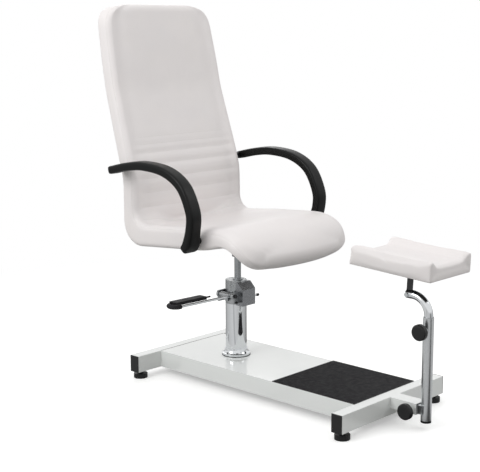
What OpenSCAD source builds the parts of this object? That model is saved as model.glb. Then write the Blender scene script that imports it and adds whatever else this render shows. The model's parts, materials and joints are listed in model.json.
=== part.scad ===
// Pedicure chair: a high-back seat on a hydraulic column, a platform base with a tread mat, and a leg rest on a
// telescopic post. The person sits facing -Y. X is across the chair, Z is up and Z = 0 is the floor.
// Lengths are millimetres. Distances called "from the front" start at the front face of the base.

/* [Base frame] */
// Length of the base, front face to rear face
base_l = 970; // [930:10:1060]
// Overall width of each crossbeam
beam_w = 550; // [480:10:620]
// Depth of a crossbeam tube
beam_d = 40; // [36:2:50]
// Height of a crossbeam tube
beam_h = 60; // [56:2:70]
// Wall of the crossbeam tubes
beam_wall = 2.5; // [2:0.5:4]
// Height of the crossbeams above the floor
beam_z = 25; // [24:1:32]
// Thickness of a crossbeam end cap
cap_t = 3; // [2:0.5:5]
// Width of the deck
deck_w = 325; // [290:5:360]
// Thickness of the folded deck sheet
deck_t = 3; // [2:0.5:4]
// Width of the returns folded in under the deck's skirts
return_w = 14; // [10:1:20]
// Thickness of the plate under the deck that carries the column
mount_plate_t = 8; // [6:1:12]
// Side of the plate under the deck
mount_plate_w = 180; // [160:10:220]
// Length of the tread mat
mat_l = 345; // [300:5:380]
// Thickness of the tread mat
mat_t = 3; // [2:0.5:5]

/* [Levelling feet] */
// Distance of a foot's centre from the end of its crossbeam
foot_inset = 30; // [28:1:40]
// Diameter of a foot
foot_d = 50; // [44:1:56]
// Thickness of a foot's disc
foot_h = 16; // [12:1:16]
// Diameter of a foot's threaded stud
stud_d = 10; // [8:1:12]
// Number of grip notches round a foot
foot_notches = 18; // [12:1:24]

/* [Column and pump] */
// Distance of the lifting ram from the front
ram_from_front = 695; // [660:5:720]
// Diameter of the lifting ram
ram_d = 24; // [20:1:28]
// Diameter of the column sleeve
column_d = 76; // [76:1:84]
// Wall of the column sleeve
column_wall = 3; // [2:0.5:4]
// Height of the top of the column sleeve
sleeve_top = 277; // [260:1:300]
// Height of the pump head
head_h = 85; // [80:1:100]
// Width of the pump's front housing
cover_w = 65; // [60:1:70]
// Distance of the housing's front face from the column's centre
cover_reach = 60; // [56:1:70]
// Height of the housing's front face
cover_face_h = 58; // [50:1:60]
// Drop and run of the housing's sloped face
cover_slope = 24; // [18:1:26]
// Diameter of the socket ring on the deck
ring_d = 101; // [100:1:116]
// Height of the socket ring
ring_h = 25; // [20:1:32]
// Thickness of the gasket under the ring
gasket_t = 2; // [1:0.5:3]

/* [Pump pedal] */
// Height of the pedal's pivot pin
pin_z = 312; // [306:1:318]
// Diameter of the pivot pin
pin_d = 8; // [6:1:10]
// Diameter of the pedal hub
hub_d = 18; // [16:1:20]
// Length of the pedal from the column's centre line to its tip
pedal_l = 333; // [280:1:340]
// Spacing of the pedal's long leg and its return leg
pedal_legs = 44; // [40:1:48]
// Diameter of the pedal rod
rod_d = 9.5; // [8:0.5:10]
// Upward slope of the pedal towards its tip, degrees
pedal_rise = 1.2; // [0:0.2:3]
// Length of the return leg, which ends inside the rubber
return_l = 138; // [110:2:140]
// Length of the tread pad's wide part
tread_l = 169; // [150:1:180]
// Width of the tread pad
tread_w = 34; // [28:1:38]
// Thickness of the rubber round the rod
tread_t = 3.2; // [2.5:0.1:4]
// Length of the thin tail of rubber past the tread pad
tail_l = 42; // [20:1:50]
// Distance of the plunger's axis below the pivot pin
plunger_drop = 18; // [16:1:20]
// Diameter of the pump plunger
plunger_d = 10; // [8:1:10]

/* [Seat and back] */
// Width of the seat and the lower back
seat_w = 540; // [500:10:560]
// Width of the back at its top
back_top_w = 484; // [460:2:490]
// Radius of the top corners of the back
back_corner_r = 45; // [30:1:60]
// Radius of the seat's front corners, seen from above
seat_corner_r = 110; // [60:5:140]
// Bow of the seat's front edge between those corners
seat_bow = 24; // [0:1:30]
// Thickness of the seat
seat_t = 74; // [66:1:80]
// Thickness of the back
back_t = 60; // [50:1:66]
// Height of the middle of the seat's underside above the floor, at the ram
seat_z = 508; // [500:1:530]
// Slope of the seat, degrees
seat_slope = 4.5; // [2:0.5:7]
// Straight run of the seat in front of the ram
seat_front_run = 175; // [150:1:190]
// Straight run of the seat behind the ram
seat_rear_run = 212; // [190:1:230]
// Radius of the bend between the seat and the back
crease_r = 52; // [45:1:60]
// Radius of the seat's rolled front
nose_r = 118; // [100:1:130]
// Angle that the rolled front turns down by
nose_drop = 60; // [50:1:70]
// Straight upright run of the lower back
lumbar_run = 110; // [90:1:130]
// Lean of the middle of the back, degrees
back_lean = 17; // [12:1:20]
// Run of the middle of the back
back_run = 248; // [220:1:280]
// Lean of the top of the back, degrees
head_lean = 11.5; // [8:0.5:15]
// Run of the top of the back
head_run = 249; // [220:1:280]
// Thickness of the plywood shell
ply_t = 16; // [12:1:18]
// Width of the plywood shell
ply_w = 430; // [400:5:440]
// Angle that the plywood's front turns down by
ply_drop = 35; // [20:1:45]
// Thickness of the steel seat plate
seat_plate_t = 4; // [3:0.5:6]

/* [Armrests] */
// Width of an armrest
arm_w = 50; // [40:1:56]
// Thickness of an armrest
arm_t = 28; // [22:1:32]
// Distance of the lower arm bolt in front of the ram, along the seat
arm_bolt_run = 91; // [70:1:110]
// Height of the top of an armrest's run above its lower bolt
arm_rise = 234; // [200:2:260]
// Distance of that top behind the lower bolt
arm_depth = 210; // [180:2:240]
// Distance that an armrest bows forward of its lower bolt
arm_bow = 19; // [10:1:30]
// Gap between the seat and an armrest
arm_gap = 27; // [20:1:34]
// Diameter of an arm spacer
spacer_d = 24; // [20:1:26]
// Diameter of an arm bolt
arm_bolt_d = 8; // [6:1:10]

/* [Leg rest post] */
// Length of the stub tube on the front crossbeam
stub_l = 99; // [90:1:120]
// Width of the stub tube
stub_w = 52; // [48:1:60]
// Height of the stub tube
stub_h = 36; // [34:1:44]
// Wall of the stub tube
stub_wall = 2; // [1.5:0.5:3]
// Wall of the liner in the stub tube
liner_t = 1.5; // [1:0.1:2]
// Gap between the stub tube and the post
post_gap = 4; // [3:1:10]
// Diameter of the post
post_d = 34; // [32:1:40]
// Wall of the post
post_wall = 1.5; // [1:0.1:2]
// Height of the top of the post
post_top = 364; // [340:1:400]
// Height of the bottom of the post's end cap
post_bottom = 24; // [18:1:30]
// Diameter of the bent riser tube
riser_d = 28; // [26:0.5:28]
// Wall of the riser tube
riser_wall = 1.5; // [1:0.1:2]
// Radius of the riser's bend
bend_r = 60; // [50:1:75]
// Length of the riser inside the post
riser_leg = 244; // [220:1:260]
// Straight end of the riser behind its bend
riser_tail = 22; // [20:1:30]
// Diameter of a clamp knob
knob_d = 52; // [44:1:60]
// Diameter of a clamp screw
screw_d = 8; // [6:1:10]
// Distance of the upper clamp below the top of the post
upper_clamp_drop = 40; // [36:1:50]
// Distance of the lower clamp from the front end of the stub tube
lower_clamp_inset = 22; // [18:1:30]

/* [Leg rest cushion] */
// Length of the cushion
rest_l = 302; // [280:2:330]
// Width of the cushion
rest_w = 224; // [210:2:250]
// Height of the cushion's side ridges
ridge_h = 65; // [60:1:75]
// Height of the cushion's trough above its underside
trough_h = 41; // [36:1:48]
// Width of the flat of the trough
trough_w = 138; // [120:2:150]
// Width of the crest of each ridge
crest_w = 10; // [6:1:14]
// Distance of the cushion's middle behind its bracket
rest_shift = 5; // [0:1:15]
// Height of the cushion's underside above its pivot
bracket_h = 81; // [76:1:90]
// Width of the bracket's tongue
tongue_w = 20; // [18:1:22]
// Thickness of the bracket's tongue
tongue_t = 6; // [5:0.5:8]
// Tilt of the cushion, front edge down, degrees
rest_tilt = 3.2; // [0:0.2:8]
// Thickness of the board in the cushion
rest_board_t = 12; // [9:1:15]

/* [Fits] */
// Radial clearance of turning and sliding fits
running = 0.05; // [0.03:0.01:0.08]
// Gap between faces that pass each other
face_gap = 0.3; // [0.2:0.05:0.4]
// Radial clearance of bolt holes
bolt_gap = 0.3; // [0.2:0.05:0.5]

/* [Hidden] */
$fn = 64;

// Small stock sizes
foot_boss_d = 20;
foot_jam_h = 4.7;
foot_bore_z = 6;
foot_boss_h = beam_z - foot_h - foot_jam_h - face_gap;
foot_notch_d = 3.2;
stud_top = 30;
nut_h = 8;
nut_across = 17;
plug_depth = 16;
plug_wall = 2;
rib_w = 30;
rib_h = 20;
rib_t = 2;
rib_from_front = [180, 400, 880];
ring_bolt_d = 8;
ring_bolt_grip = 12;
ring_bolt_head_h = 8;
ring_lip_h = 7;
ring_top_wall = 3;
grub_d = 6;
column_shift = [-4, 5];
cylinder_wall = 5;
piston_d = 40;
piston_h = 16;
piston_from_floor = 190;
cylinder_spigot = 23;
gland_h = 4;
gland_wall = 6;
ear_t = 7;
ear_r = 13;
ear_drop = 27;
ear_outer = 80;
pin_head_d = 14;
pin_head_t = 5;
cam_r = 4;
cam_w = 14;
cam_web = 5;
plunger_l = 13.2;
plunger_room = 6.5;
tread_lap = 4;
tread_front_lap = 5;
tail_d = 6;
release_d = 6;
release_cap_d = 10;
release_cap_l = 10;
release_reach = 27.5;
release_depth = 18;
release_travel = 4;
socket_d = 40;
socket_l = 58;
seat_plate_w = 200;
seat_plate_l = 170;
seat_bolt_d = 8;
seat_bolt_x = 80;
seat_bolt_y = 65;
bolt_head_h = 5;
bolt_head_d = 14;
arm_recess = 6;
arm_bolt_grip = 10;
arm_bore_spare = 2;
arm_foot = [8, -26];
arm_lead = [-75, 15];
arm_tail = [17, -5];
taper_above_arm = 67;
clamp_boss_d = 18;
clamp_boss_l = 10;
upper_boss_l = 14;
knob_t = 18;
knob_hub_d = 22;
knob_hub_l = 8;
knob_seat = 12;
lower_clamp_drop = 6;
post_cap_h = 7;
post_plug_h = 18;
collar_h = 20;
glide_h = 40;
glide_floor = 4;
tilt_bolt_d = 8;
bracket_plate_w = 100;
bracket_plate_l = 74;
bracket_plate_t = 4;
rest_board_margin = 17;
rest_screw_d = 5;
deck_bottom = beam_z;
deck_top = beam_z + beam_h;

// Tilt pivot and post, from the front
post_from_front = -(stub_l + post_gap + post_d / 2);
riser_bend_z = post_top + 2;
pivot_z = riser_bend_z + bend_r;
pivot_inset = 8;
pivot_from_front = post_from_front + bend_r + riser_tail - pivot_inset;

// Seat outline: stations [y, z, direction, half thickness] along the middle of the shell, from the front roll to
// the top of the back. The direction is 0 for level and 90 for upright.
function normal(a) = [-sin(a), cos(a)];
function heading(a) = [cos(a), sin(a)];
function bend(c, r, side, a0, a1, h0, h1, n) = [
    for (i = [0:n])
        let (a = a0 + (a1 - a0) * i / n)
        [c + side * r * normal(a), a, h0 + (h1 - h0) * i / n]
];
seat_mid = [ram_from_front, seat_z] + seat_t / 2 * normal(-seat_slope);
seat_front = seat_mid - seat_front_run * heading(-seat_slope);
seat_rear = seat_mid + seat_rear_run * heading(-seat_slope);
nose_centre = seat_front - nose_r * normal(-seat_slope);
crease_centre = seat_rear + crease_r * normal(-seat_slope);
lumbar_top = crease_centre + [crease_r, lumbar_run];
lean_r = 250;
lean_centre = lumbar_top + [lean_r, 0];
lean_angle = 90 - back_lean;
lean_end = lean_centre + lean_r * normal(lean_angle);
head_start = lean_end + back_run * heading(lean_angle);
head_r = 600;
head_angle = 90 - head_lean;
head_centre = head_start + head_r * normal(lean_angle);
head_end = head_centre - head_r * normal(head_angle) + head_run * heading(head_angle);
function shell_stations(h_seat, h_back, drop) = concat(
    bend(nose_centre, nose_r, 1, drop, -seat_slope, h_seat, h_seat, 10),
    bend(crease_centre, crease_r, -1, -seat_slope, 90, h_seat, h_back, 12),
    bend(lean_centre, lean_r, 1, 90, lean_angle, h_back, h_back, 4),
    bend(head_centre, head_r, -1, lean_angle, head_angle, h_back, h_back, 3),
    [[head_end, head_angle, h_back]]
);
function cap(s, a0) = [for (i = [1:11]) s[0] + s[2] * heading(a0 - 15 * i)];
function outline(s) = concat(
    [for (k = s) k[0] + k[2] * normal(k[1])],
    cap(s[len(s) - 1], s[len(s) - 1][1] + 90),
    [for (i = [len(s) - 1:-1:0]) s[i][0] - s[i][2] * normal(s[i][1])],
    cap(s[0], s[0][1] - 90)
);

// Overall extent from the front, which puts the origin in the middle of the chair
rest_front_corner = [rest_shift - rest_l / 2, bracket_h + ridge_h];
front_extent = pivot_from_front + rest_front_corner[0] * cos(rest_tilt) - rest_front_corner[1] * sin(rest_tilt);
rear_extent = head_end[0] + back_t / 2;
front_y = -(front_extent + rear_extent) / 2;

ram_y = front_y + ram_from_front;
column_x = column_shift[0];
column_y = ram_y + column_shift[1];
ring_z = deck_top + gasket_t;
head_top = sleeve_top + head_h;
column_r = column_d / 2;
pin_x = column_x - column_r - face_gap - hub_d / 2;
post_y = front_y + post_from_front;
pivot_y = front_y + pivot_from_front;
foot_x = beam_w / 2 - foot_inset;
foot_front_y = front_y + beam_d / 2;
foot_rear_y = front_y + base_l - beam_d / 2;
arm_x = seat_w / 2 + arm_gap + arm_w / 2;

// Armrest run from its lower bolt over the top to its upper bolt, as [y, z] from the front
arm_low = seat_mid - arm_bolt_run * heading(-seat_slope);
arm_up = lean_end;
arm_points = [
    arm_low + arm_foot,
    arm_low,
    arm_low + [-arm_bow, 0.21 * arm_rise],
    arm_low + [-0.85 * arm_bow, 0.44 * arm_rise],
    arm_low + [0.13 * arm_depth, 0.77 * arm_rise],
    arm_low + [0.50 * arm_depth, 0.95 * arm_rise],
    arm_low + [arm_depth, arm_rise],
    arm_up + arm_lead,
    arm_up,
    arm_up + arm_tail
];
function blend_point(p, i, t) =
    let (a = p[max(i - 1, 0)], b = p[i], c = p[i + 1], d = p[min(i + 2, len(p) - 1)])
    0.5 * (2 * b + (c - a) * t + (2 * a - 5 * b + 4 * c - d) * t * t + (3 * b - a - 3 * c + d) * t * t * t);
function smooth(p, n) = concat(
    [for (i = [0:len(p) - 2]) for (k = [0:n - 1]) blend_point(p, i, k / n)],
    [p[len(p) - 1]]
);
function angle_at(p, i) =
    let (a = p[max(i - 1, 0)], b = p[min(i + 1, len(p) - 1)])
    atan2(b[1] - a[1], b[0] - a[0]);

// Places a flat [y, z] outline as a solid of the given width, centred on X = 0
module across(width) {
    translate([-width / 2, front_y, 0])
        rotate([90, 0, 90])
            linear_extrude(width)
                children();
}

module ring(outer_d, inner_d, h) {
    difference() {
        cylinder(d = outer_d, h = h);
        translate([0, 0, -1])
            cylinder(d = inner_d, h = h + 2);
    }
}

module along_x(d, l) {
    rotate([0, 90, 0])
        cylinder(d = d, h = l);
}

module along_y(d, l) {
    rotate([-90, 0, 0])
        cylinder(d = d, h = l);
}

module at_feet() {
    for (x = [-foot_x, foot_x], y = [foot_front_y, foot_rear_y])
        translate([x, y, 0])
            children();
}

// Base frame

module crossbeam() {
    tube_w = beam_w - 2 * cap_t;
    difference() {
        translate([-tube_w / 2, 0, beam_z])
            cube([tube_w, beam_d, beam_h]);
        translate([-tube_w / 2 - 1, beam_wall, beam_z + beam_wall])
            cube([tube_w + 2, beam_d - 2 * beam_wall, beam_h - 2 * beam_wall]);
        for (x = [-foot_x, foot_x])
            translate([x, beam_d / 2, beam_z - 1])
                cylinder(d = stud_d + 2 * bolt_gap, h = beam_wall + 2);
    }
}

module front_crossbeam() {
    color("gainsboro")
        translate([0, front_y, 0])
            crossbeam();
}

module rear_crossbeam() {
    color("gainsboro")
        translate([0, front_y + base_l - beam_d, 0])
            crossbeam();
}

module deck_plate() {
    l = base_l - 2 * beam_d;
    color("gainsboro")
        difference() {
            translate([-deck_w / 2, front_y + beam_d, deck_bottom])
                cube([deck_w, l, beam_h]);
            translate([-deck_w / 2 + deck_t, front_y + beam_d - 1, deck_bottom + deck_t])
                cube([deck_w - 2 * deck_t, l + 2, beam_h - 2 * deck_t]);
            translate([-deck_w / 2 + return_w, front_y + beam_d - 1, deck_bottom - 1])
                cube([deck_w - 2 * return_w, l + 2, deck_t + 2]);
            ring_bolt_holes();
        }
}

module ring_bolt_holes() {
    at_ring_bolts()
        translate([0, 0, deck_top - deck_t - mount_plate_t - 1])
            cylinder(d = ring_bolt_d + 2 * bolt_gap, h = mount_plate_t + deck_t + gasket_t + 2);
}

module at_ring_bolts() {
    bolt_circle = (ring_d + column_d) / 4;
    for (a = [0:90:270])
        translate([column_x, column_y, 0])
            rotate([0, 0, a])
                translate([bolt_circle, 0, 0])
                    children();
}

// Hat-section stiffeners across the underside of the deck
module deck_ribs() {
    l = deck_w - 2 * deck_t;
    color("gainsboro")
        for (y = rib_from_front)
            translate([-l / 2, front_y + y - rib_w / 2, deck_top - deck_t - rib_h])
                difference() {
                    cube([l, rib_w, rib_h]);
                    translate([-1, rib_t, rib_t])
                        cube([l + 2, rib_w - 2 * rib_t, rib_h]);
                }
}

module mounting_plate() {
    color("gainsboro")
        difference() {
            translate([column_x - mount_plate_w / 2, column_y - mount_plate_w / 2, deck_top - deck_t - mount_plate_t])
                cube([mount_plate_w, mount_plate_w, mount_plate_t]);
            ring_bolt_holes();
        }
}

module crossbeam_caps() {
    plug_w = beam_d - 2 * beam_wall;
    plug_h = beam_h - 2 * beam_wall;
    color("dimgray")
        for (y = [foot_front_y, foot_rear_y], side = [0, 1])
            mirror([side, 0, 0])
                translate([beam_w / 2 - cap_t, y, beam_z]) {
                    translate([0, -beam_d / 2, 0])
                        cube([cap_t, beam_d, beam_h]);
                    difference() {
                        translate([-plug_depth, -plug_w / 2, beam_wall])
                            cube([plug_depth, plug_w, plug_h]);
                        translate([-plug_depth - 1, -plug_w / 2 + plug_wall, beam_wall + plug_wall])
                            cube([plug_depth + 1, plug_w - 2 * plug_wall, plug_h - 2 * plug_wall]);
                    }
                }
}

module foot_nuts() {
    color("silver")
        at_feet()
            translate([0, 0, beam_z + beam_wall])
                difference() {
                    cylinder(d = nut_across / cos(30), h = nut_h, $fn = 6);
                    translate([0, 0, -1])
                        cylinder(d = stud_d + 2 * running, h = nut_h + 2);
                }
}

module tread_mat() {
    color("darkslategray")
        translate([-deck_w / 2, front_y + beam_d, deck_top])
            cube([deck_w, mat_l, mat_t]);
}

// Levelling feet

module levelling_foot(x, y) {
    color("dimgray")
        translate([x, y, 0])
            difference() {
                union() {
                    cylinder(d = foot_d, h = foot_h);
                    cylinder(d = foot_boss_d, h = foot_h + foot_boss_h);
                }
                translate([0, 0, foot_bore_z])
                    cylinder(d = stud_d + 2 * running, h = foot_h + foot_boss_h);
                for (i = [0:foot_notches - 1])
                    rotate([0, 0, i * 360 / foot_notches])
                        translate([foot_d / 2, 0, foot_notch_d])
                            cylinder(d = foot_notch_d, h = foot_h, $fn = 24);
            }
}

module levelling_stud(x, y) {
    color("silver")
        translate([x, y, 0]) {
            translate([0, 0, foot_bore_z])
                cylinder(d = stud_d, h = beam_z - foot_bore_z + stud_top);
            translate([0, 0, foot_h + foot_boss_h])
                cylinder(d = nut_across / cos(30), h = foot_jam_h, $fn = 6);
        }
}

module foot_front_left() {
    levelling_foot(-foot_x, foot_front_y);
}

module foot_front_right() {
    levelling_foot(foot_x, foot_front_y);
}

module foot_rear_left() {
    levelling_foot(-foot_x, foot_rear_y);
}

module foot_rear_right() {
    levelling_foot(foot_x, foot_rear_y);
}

module stud_front_left() {
    levelling_stud(-foot_x, foot_front_y);
}

module stud_front_right() {
    levelling_stud(foot_x, foot_front_y);
}

module stud_rear_left() {
    levelling_stud(-foot_x, foot_rear_y);
}

module stud_rear_right() {
    levelling_stud(foot_x, foot_rear_y);
}

// Column and pump

module socket_ring() {
    bore_r = column_r + running;
    top_r = column_r + ring_top_wall;
    flare = ring_h - ring_lip_h;
    color("lightgray")
        difference() {
            translate([column_x, column_y, ring_z])
                rotate_extrude()
                    polygon(concat(
                        [[bore_r, 0], [ring_d / 2, 0], [ring_d / 2, ring_lip_h]],
                        [for (a = [15:15:90])
                            [ring_d / 2 - (ring_d / 2 - top_r) * sin(a), ring_lip_h + flare * (1 - cos(a))]],
                        [[bore_r, ring_h]]
                    ));
            at_ring_bolts()
                translate([0, 0, ring_z - 1])
                    cylinder(d = ring_bolt_d + 2 * running, h = ring_bolt_grip + 1);
            grub_hole();
        }
}

module grub_hole() {
    translate([column_x, column_y - column_r - running, ring_z + ring_h / 2])
        rotate([90, 0, 0])
            cylinder(d = grub_d + 2 * running, h = ring_d);
}

module ring_gasket() {
    color("black")
        difference() {
            translate([column_x, column_y, deck_top])
                cylinder(d = ring_d + 2, h = gasket_t);
            ring_bolt_holes();
        }
}

module socket_screws() {
    plate_bottom = deck_top - deck_t - mount_plate_t;
    color("black") {
        at_ring_bolts() {
            translate([0, 0, plate_bottom - ring_bolt_head_h])
                cylinder(d = 1.6 * ring_bolt_d, h = ring_bolt_head_h);
            translate([0, 0, plate_bottom])
                cylinder(d = ring_bolt_d, h = ring_z + ring_bolt_grip - 1 - plate_bottom);
        }
        translate([column_x, column_y - column_r - 2 * running, ring_z + ring_h / 2])
            rotate([90, 0, 0])
                cylinder(d = grub_d, h = ring_top_wall + 3);
    }
}

module column_sleeve() {
    color("lightgray")
        translate([column_x, column_y, ring_z])
            ring(column_d, column_d - 2 * column_wall, sleeve_top - ring_z);
}

cylinder_d = piston_d + 2 * cylinder_wall;
cylinder_top = sleeve_top + cylinder_spigot;

module pump_cylinder() {
    color("gray")
        translate([0, ram_y, ring_z])
            difference() {
                cylinder(d = cylinder_d, h = cylinder_top - ring_z);
                translate([0, 0, cylinder_wall])
                    cylinder(d = piston_d + 2 * running, h = cylinder_top - ring_z);
            }
}

// One of the two ears that hold the pedal's pivot pin
module pin_ear(y) {
    translate([0, y, 0])
        difference() {
            union() {
                translate([pin_x, 0, pin_z])
                    along_y(2 * ear_r, ear_t);
                translate([pin_x - ear_r / 2, 0, pin_z - ear_drop])
                    cube([column_x - pin_x - column_r / 4 + ear_r / 2, ear_t, ear_drop]);
                translate([pin_x, 0, pin_z])
                    cube([column_x - pin_x - column_r / 4, ear_t, ear_r]);
            }
            translate([pin_x, -1, pin_z])
                along_y(pin_d + 2 * bolt_gap, ear_t + 2);
        }
}

module pump_head() {
    color("silver")
        difference() {
            union() {
                translate([column_x, column_y, sleeve_top])
                    cylinder(d = column_d, h = head_h);
                for (y = [column_y - ear_outer / 2, column_y + ear_outer / 2 - ear_t])
                    pin_ear(y);
            }
            translate([0, ram_y, sleeve_top - 1])
                cylinder(d = cylinder_d + 2 * running, h = cylinder_spigot + 1);
            translate([0, ram_y, sleeve_top])
                cylinder(d = ram_d + 2 * running, h = head_h + 1);
            translate([pin_x, column_y, pin_z - plunger_drop])
                along_x(plunger_d + 2 * running, plunger_bore_end - pin_x);
        }
}

// Far end of the plunger's bore, inside the wall round the cylinder
plunger_start = pin_x + cam_r + face_gap;
plunger_bore_end = plunger_start + plunger_l + plunger_room;

module cover_outline() {
    polygon([
        [0, 0],
        [-cover_reach, 0],
        [-cover_reach, cover_face_h],
        [-cover_reach + cover_slope, cover_face_h + cover_slope],
        [0, cover_face_h + cover_slope]
    ]);
}

module pump_cover() {
    color("darkgray")
        difference() {
            translate([-cover_w / 2, column_y, sleeve_top - 2])
                rotate([90, 0, 90])
                    linear_extrude(cover_w)
                        cover_outline();
            translate([column_x, column_y, sleeve_top - 3])
                cylinder(d = column_d, h = head_h);
            translate([-cover_w / 2 - 1, column_y - ear_outer / 2 - face_gap, pin_z - ear_drop - face_gap])
                cube([cover_w / 2, ear_outer / 2 + face_gap, ear_drop + ear_r + 2 * face_gap]);
            release_bore();
        }
}

release_y = column_y - cover_reach + 10;
release_z = sleeve_top + 25;

module release_bore() {
    translate([cover_w / 2 - release_depth - release_travel - 1, release_y, release_z])
        along_x(release_d + 2 * running, release_depth + release_travel + 2);
}

module release_rod() {
    color("silver")
        translate([cover_w / 2 - release_depth, release_y, release_z])
            along_x(release_d, release_depth + release_reach - release_cap_l / 2);
}

module release_cap() {
    color("black")
        translate([cover_w / 2 + release_reach - release_cap_l, release_y, release_z])
            difference() {
                along_x(release_cap_d, release_cap_l);
                translate([-1, 0, 0])
                    along_x(release_d + 2 * running, release_cap_l / 2 + 1);
            }
}

module pump_gland() {
    color("black")
        translate([0, ram_y, head_top])
            ring(ram_d + 2 * gland_wall, ram_d + 2 * running, gland_h);
}

module pedal_pin() {
    color("black")
        translate([pin_x, column_y - ear_outer / 2, pin_z]) {
            along_y(pin_d, ear_outer);
            translate([0, -pin_head_t, 0])
                along_y(pin_head_d, pin_head_t);
            translate([0, ear_outer, 0])
                along_y(pin_head_d, pin_head_t);
        }
}

// Pedal

hub_l = ear_outer - 2 * ear_t - 2 * face_gap;

module at_pin() {
    translate([pin_x, column_y, pin_z])
        children();
}

module pedal_hub() {
    color("lightgray")
        at_pin()
            difference() {
                union() {
                    translate([0, -hub_l / 2, 0])
                        along_y(hub_d, hub_l);
                    translate([0, -cam_w / 2, -plunger_drop])
                        along_y(2 * cam_r, cam_w);
                    translate([-cam_web / 2, -cam_w / 2, -plunger_drop])
                        cube([cam_web, cam_w, plunger_drop]);
                }
                translate([0, -hub_l / 2 - 1, 0])
                    along_y(pin_d + 2 * running, hub_l + 2);
            }
}

pedal_bend_x = -(pedal_l + pin_x - rod_d / 2 - tread_t - pedal_legs / 2);

// The pedal's J-shaped rod, or with a larger d the rubber round it
module pedal_rod(d, rear_leg, front_leg) {
    translate([pedal_bend_x, pedal_legs / 2, 0])
        along_x(d, rear_leg);
    translate([pedal_bend_x, -pedal_legs / 2, 0])
        along_x(d, front_leg);
    translate([pedal_bend_x, 0, 0])
        rotate([0, 0, 90])
            rotate_extrude(angle = 180)
                translate([pedal_legs / 2, 0])
                    circle(d = d);
}

module pedal_loop() {
    color("lightgray")
        at_pin()
            difference() {
                rotate([0, pedal_rise, 0])
                    pedal_rod(rod_d, return_l, -pedal_bend_x);
                translate([0, -hub_l / 2 - 1, 0])
                    along_y(hub_d, hub_l + 2);
            }
}

module pedal_tread() {
    sleeve_d = rod_d + 2 * tread_t;
    color("black")
        at_pin()
            rotate([0, pedal_rise, 0])
                difference() {
                    union() {
                        pedal_rod(sleeve_d, return_l + tread_lap, tread_front_lap);
                        translate([pedal_bend_x + return_l, pedal_legs / 2, 0])
                            along_x(tail_d, tail_l + tread_l - pedal_legs / 2 - return_l);
                        translate([pedal_bend_x, pedal_legs / 2 + sleeve_d / 2 - tread_w, 0])
                            cube([tread_l - pedal_legs / 2, tread_w, sleeve_d / 2 + tread_t]);
                    }
                    pedal_rod(rod_d, return_l, -pedal_bend_x);
                }
}

module pump_plunger() {
    color("silver")
        translate([plunger_start, column_y, pin_z - plunger_drop])
            along_x(plunger_d, plunger_l);
}

// Ram and seat mounting

ram_top = seat_z - seat_plate_t - 8;

module ram_rod() {
    color("silver")
        translate([0, ram_y, 0]) {
            translate([0, 0, piston_from_floor])
                cylinder(d = piston_d, h = piston_h);
            translate([0, 0, piston_from_floor])
                cylinder(d = ram_d, h = ram_top - piston_from_floor);
        }
}

// Places children on the seat's underside at the ram, with Z square to the underside
module on_underside() {
    translate([0, ram_y, seat_z])
        rotate([-seat_slope, 0, 0])
            children();
}

module ram_socket() {
    color("dimgray")
        difference() {
            translate([0, ram_y, ram_top - socket_l + 8])
                cylinder(d = socket_d, h = socket_l + 8);
            on_underside()
                translate([-socket_d, -socket_d, -seat_plate_t])
                    cube([2 * socket_d, 2 * socket_d, socket_d]);
            translate([0, ram_y, ram_top - socket_l])
                cylinder(d = ram_d + 2 * running, h = socket_l + face_gap);
        }
}

module at_seat_bolts() {
    for (x = [-seat_bolt_x, seat_bolt_x], y = [-seat_bolt_y, seat_bolt_y])
        translate([x, y, 0])
            children();
}

module seat_plate() {
    color("dimgray")
        on_underside()
            difference() {
                translate([-seat_plate_w / 2, -seat_plate_l / 2, -seat_plate_t])
                    cube([seat_plate_w, seat_plate_l, seat_plate_t]);
                at_seat_bolts()
                    translate([0, 0, -seat_plate_t - 1])
                        cylinder(d = seat_bolt_d + 2 * bolt_gap, h = seat_plate_t + 2);
            }
}

module seat_bolts() {
    color("gray")
        on_underside()
            at_seat_bolts() {
                translate([0, 0, -seat_plate_t - bolt_head_h])
                    cylinder(d = bolt_head_d, h = bolt_head_h);
                translate([0, 0, -seat_plate_t])
                    cylinder(d = seat_bolt_d, h = seat_plate_t + seat_t / 2 + ply_t / 2 - 2);
            }
}

module seat_bolt_bores(gap) {
    on_underside()
        at_seat_bolts()
            translate([0, 0, -1])
                cylinder(d = seat_bolt_d + 2 * gap, h = seat_t / 2 + ply_t / 2 + 2);
}

// Upholstered shell

module at_arm_bolts() {
    for (side = [0, 1], p = [arm_low, arm_up])
        mirror([side, 0, 0])
            translate([ply_w / 2 - arm_bolt_grip - arm_bore_spare, front_y + p[0], p[1]])
                children();
}

module ply_solid() {
    across(ply_w)
        polygon(outline(shell_stations(ply_t / 2, ply_t / 2, ply_drop)));
}

module seat_shell() {
    color("burlywood")
        difference() {
            ply_solid();
            seat_bolt_bores(running);
            at_arm_bolts()
                along_x(arm_bolt_d + 2 * running, arm_bolt_grip + 2 * arm_bore_spare);
        }
}

// Front view of the seat and back: full width up to the elbows, then tapering to rounded top corners
module front_outline() {
    taper_z = lean_end[1] + taper_above_arm;
    top_z = head_end[1] + back_t / 2;
    corner_z = top_z - back_corner_r;
    corner_x = back_top_w / 2 - back_corner_r;
    right = concat(
        [[seat_w / 2, 0], [seat_w / 2, taper_z]],
        [for (a = [0:15:90]) [corner_x + back_corner_r * cos(a), corner_z + back_corner_r * sin(a)]]
    );
    polygon(concat(right, [for (i = [len(right) - 1:-1:0]) [-right[i][0], right[i][1]]]));
}

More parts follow.
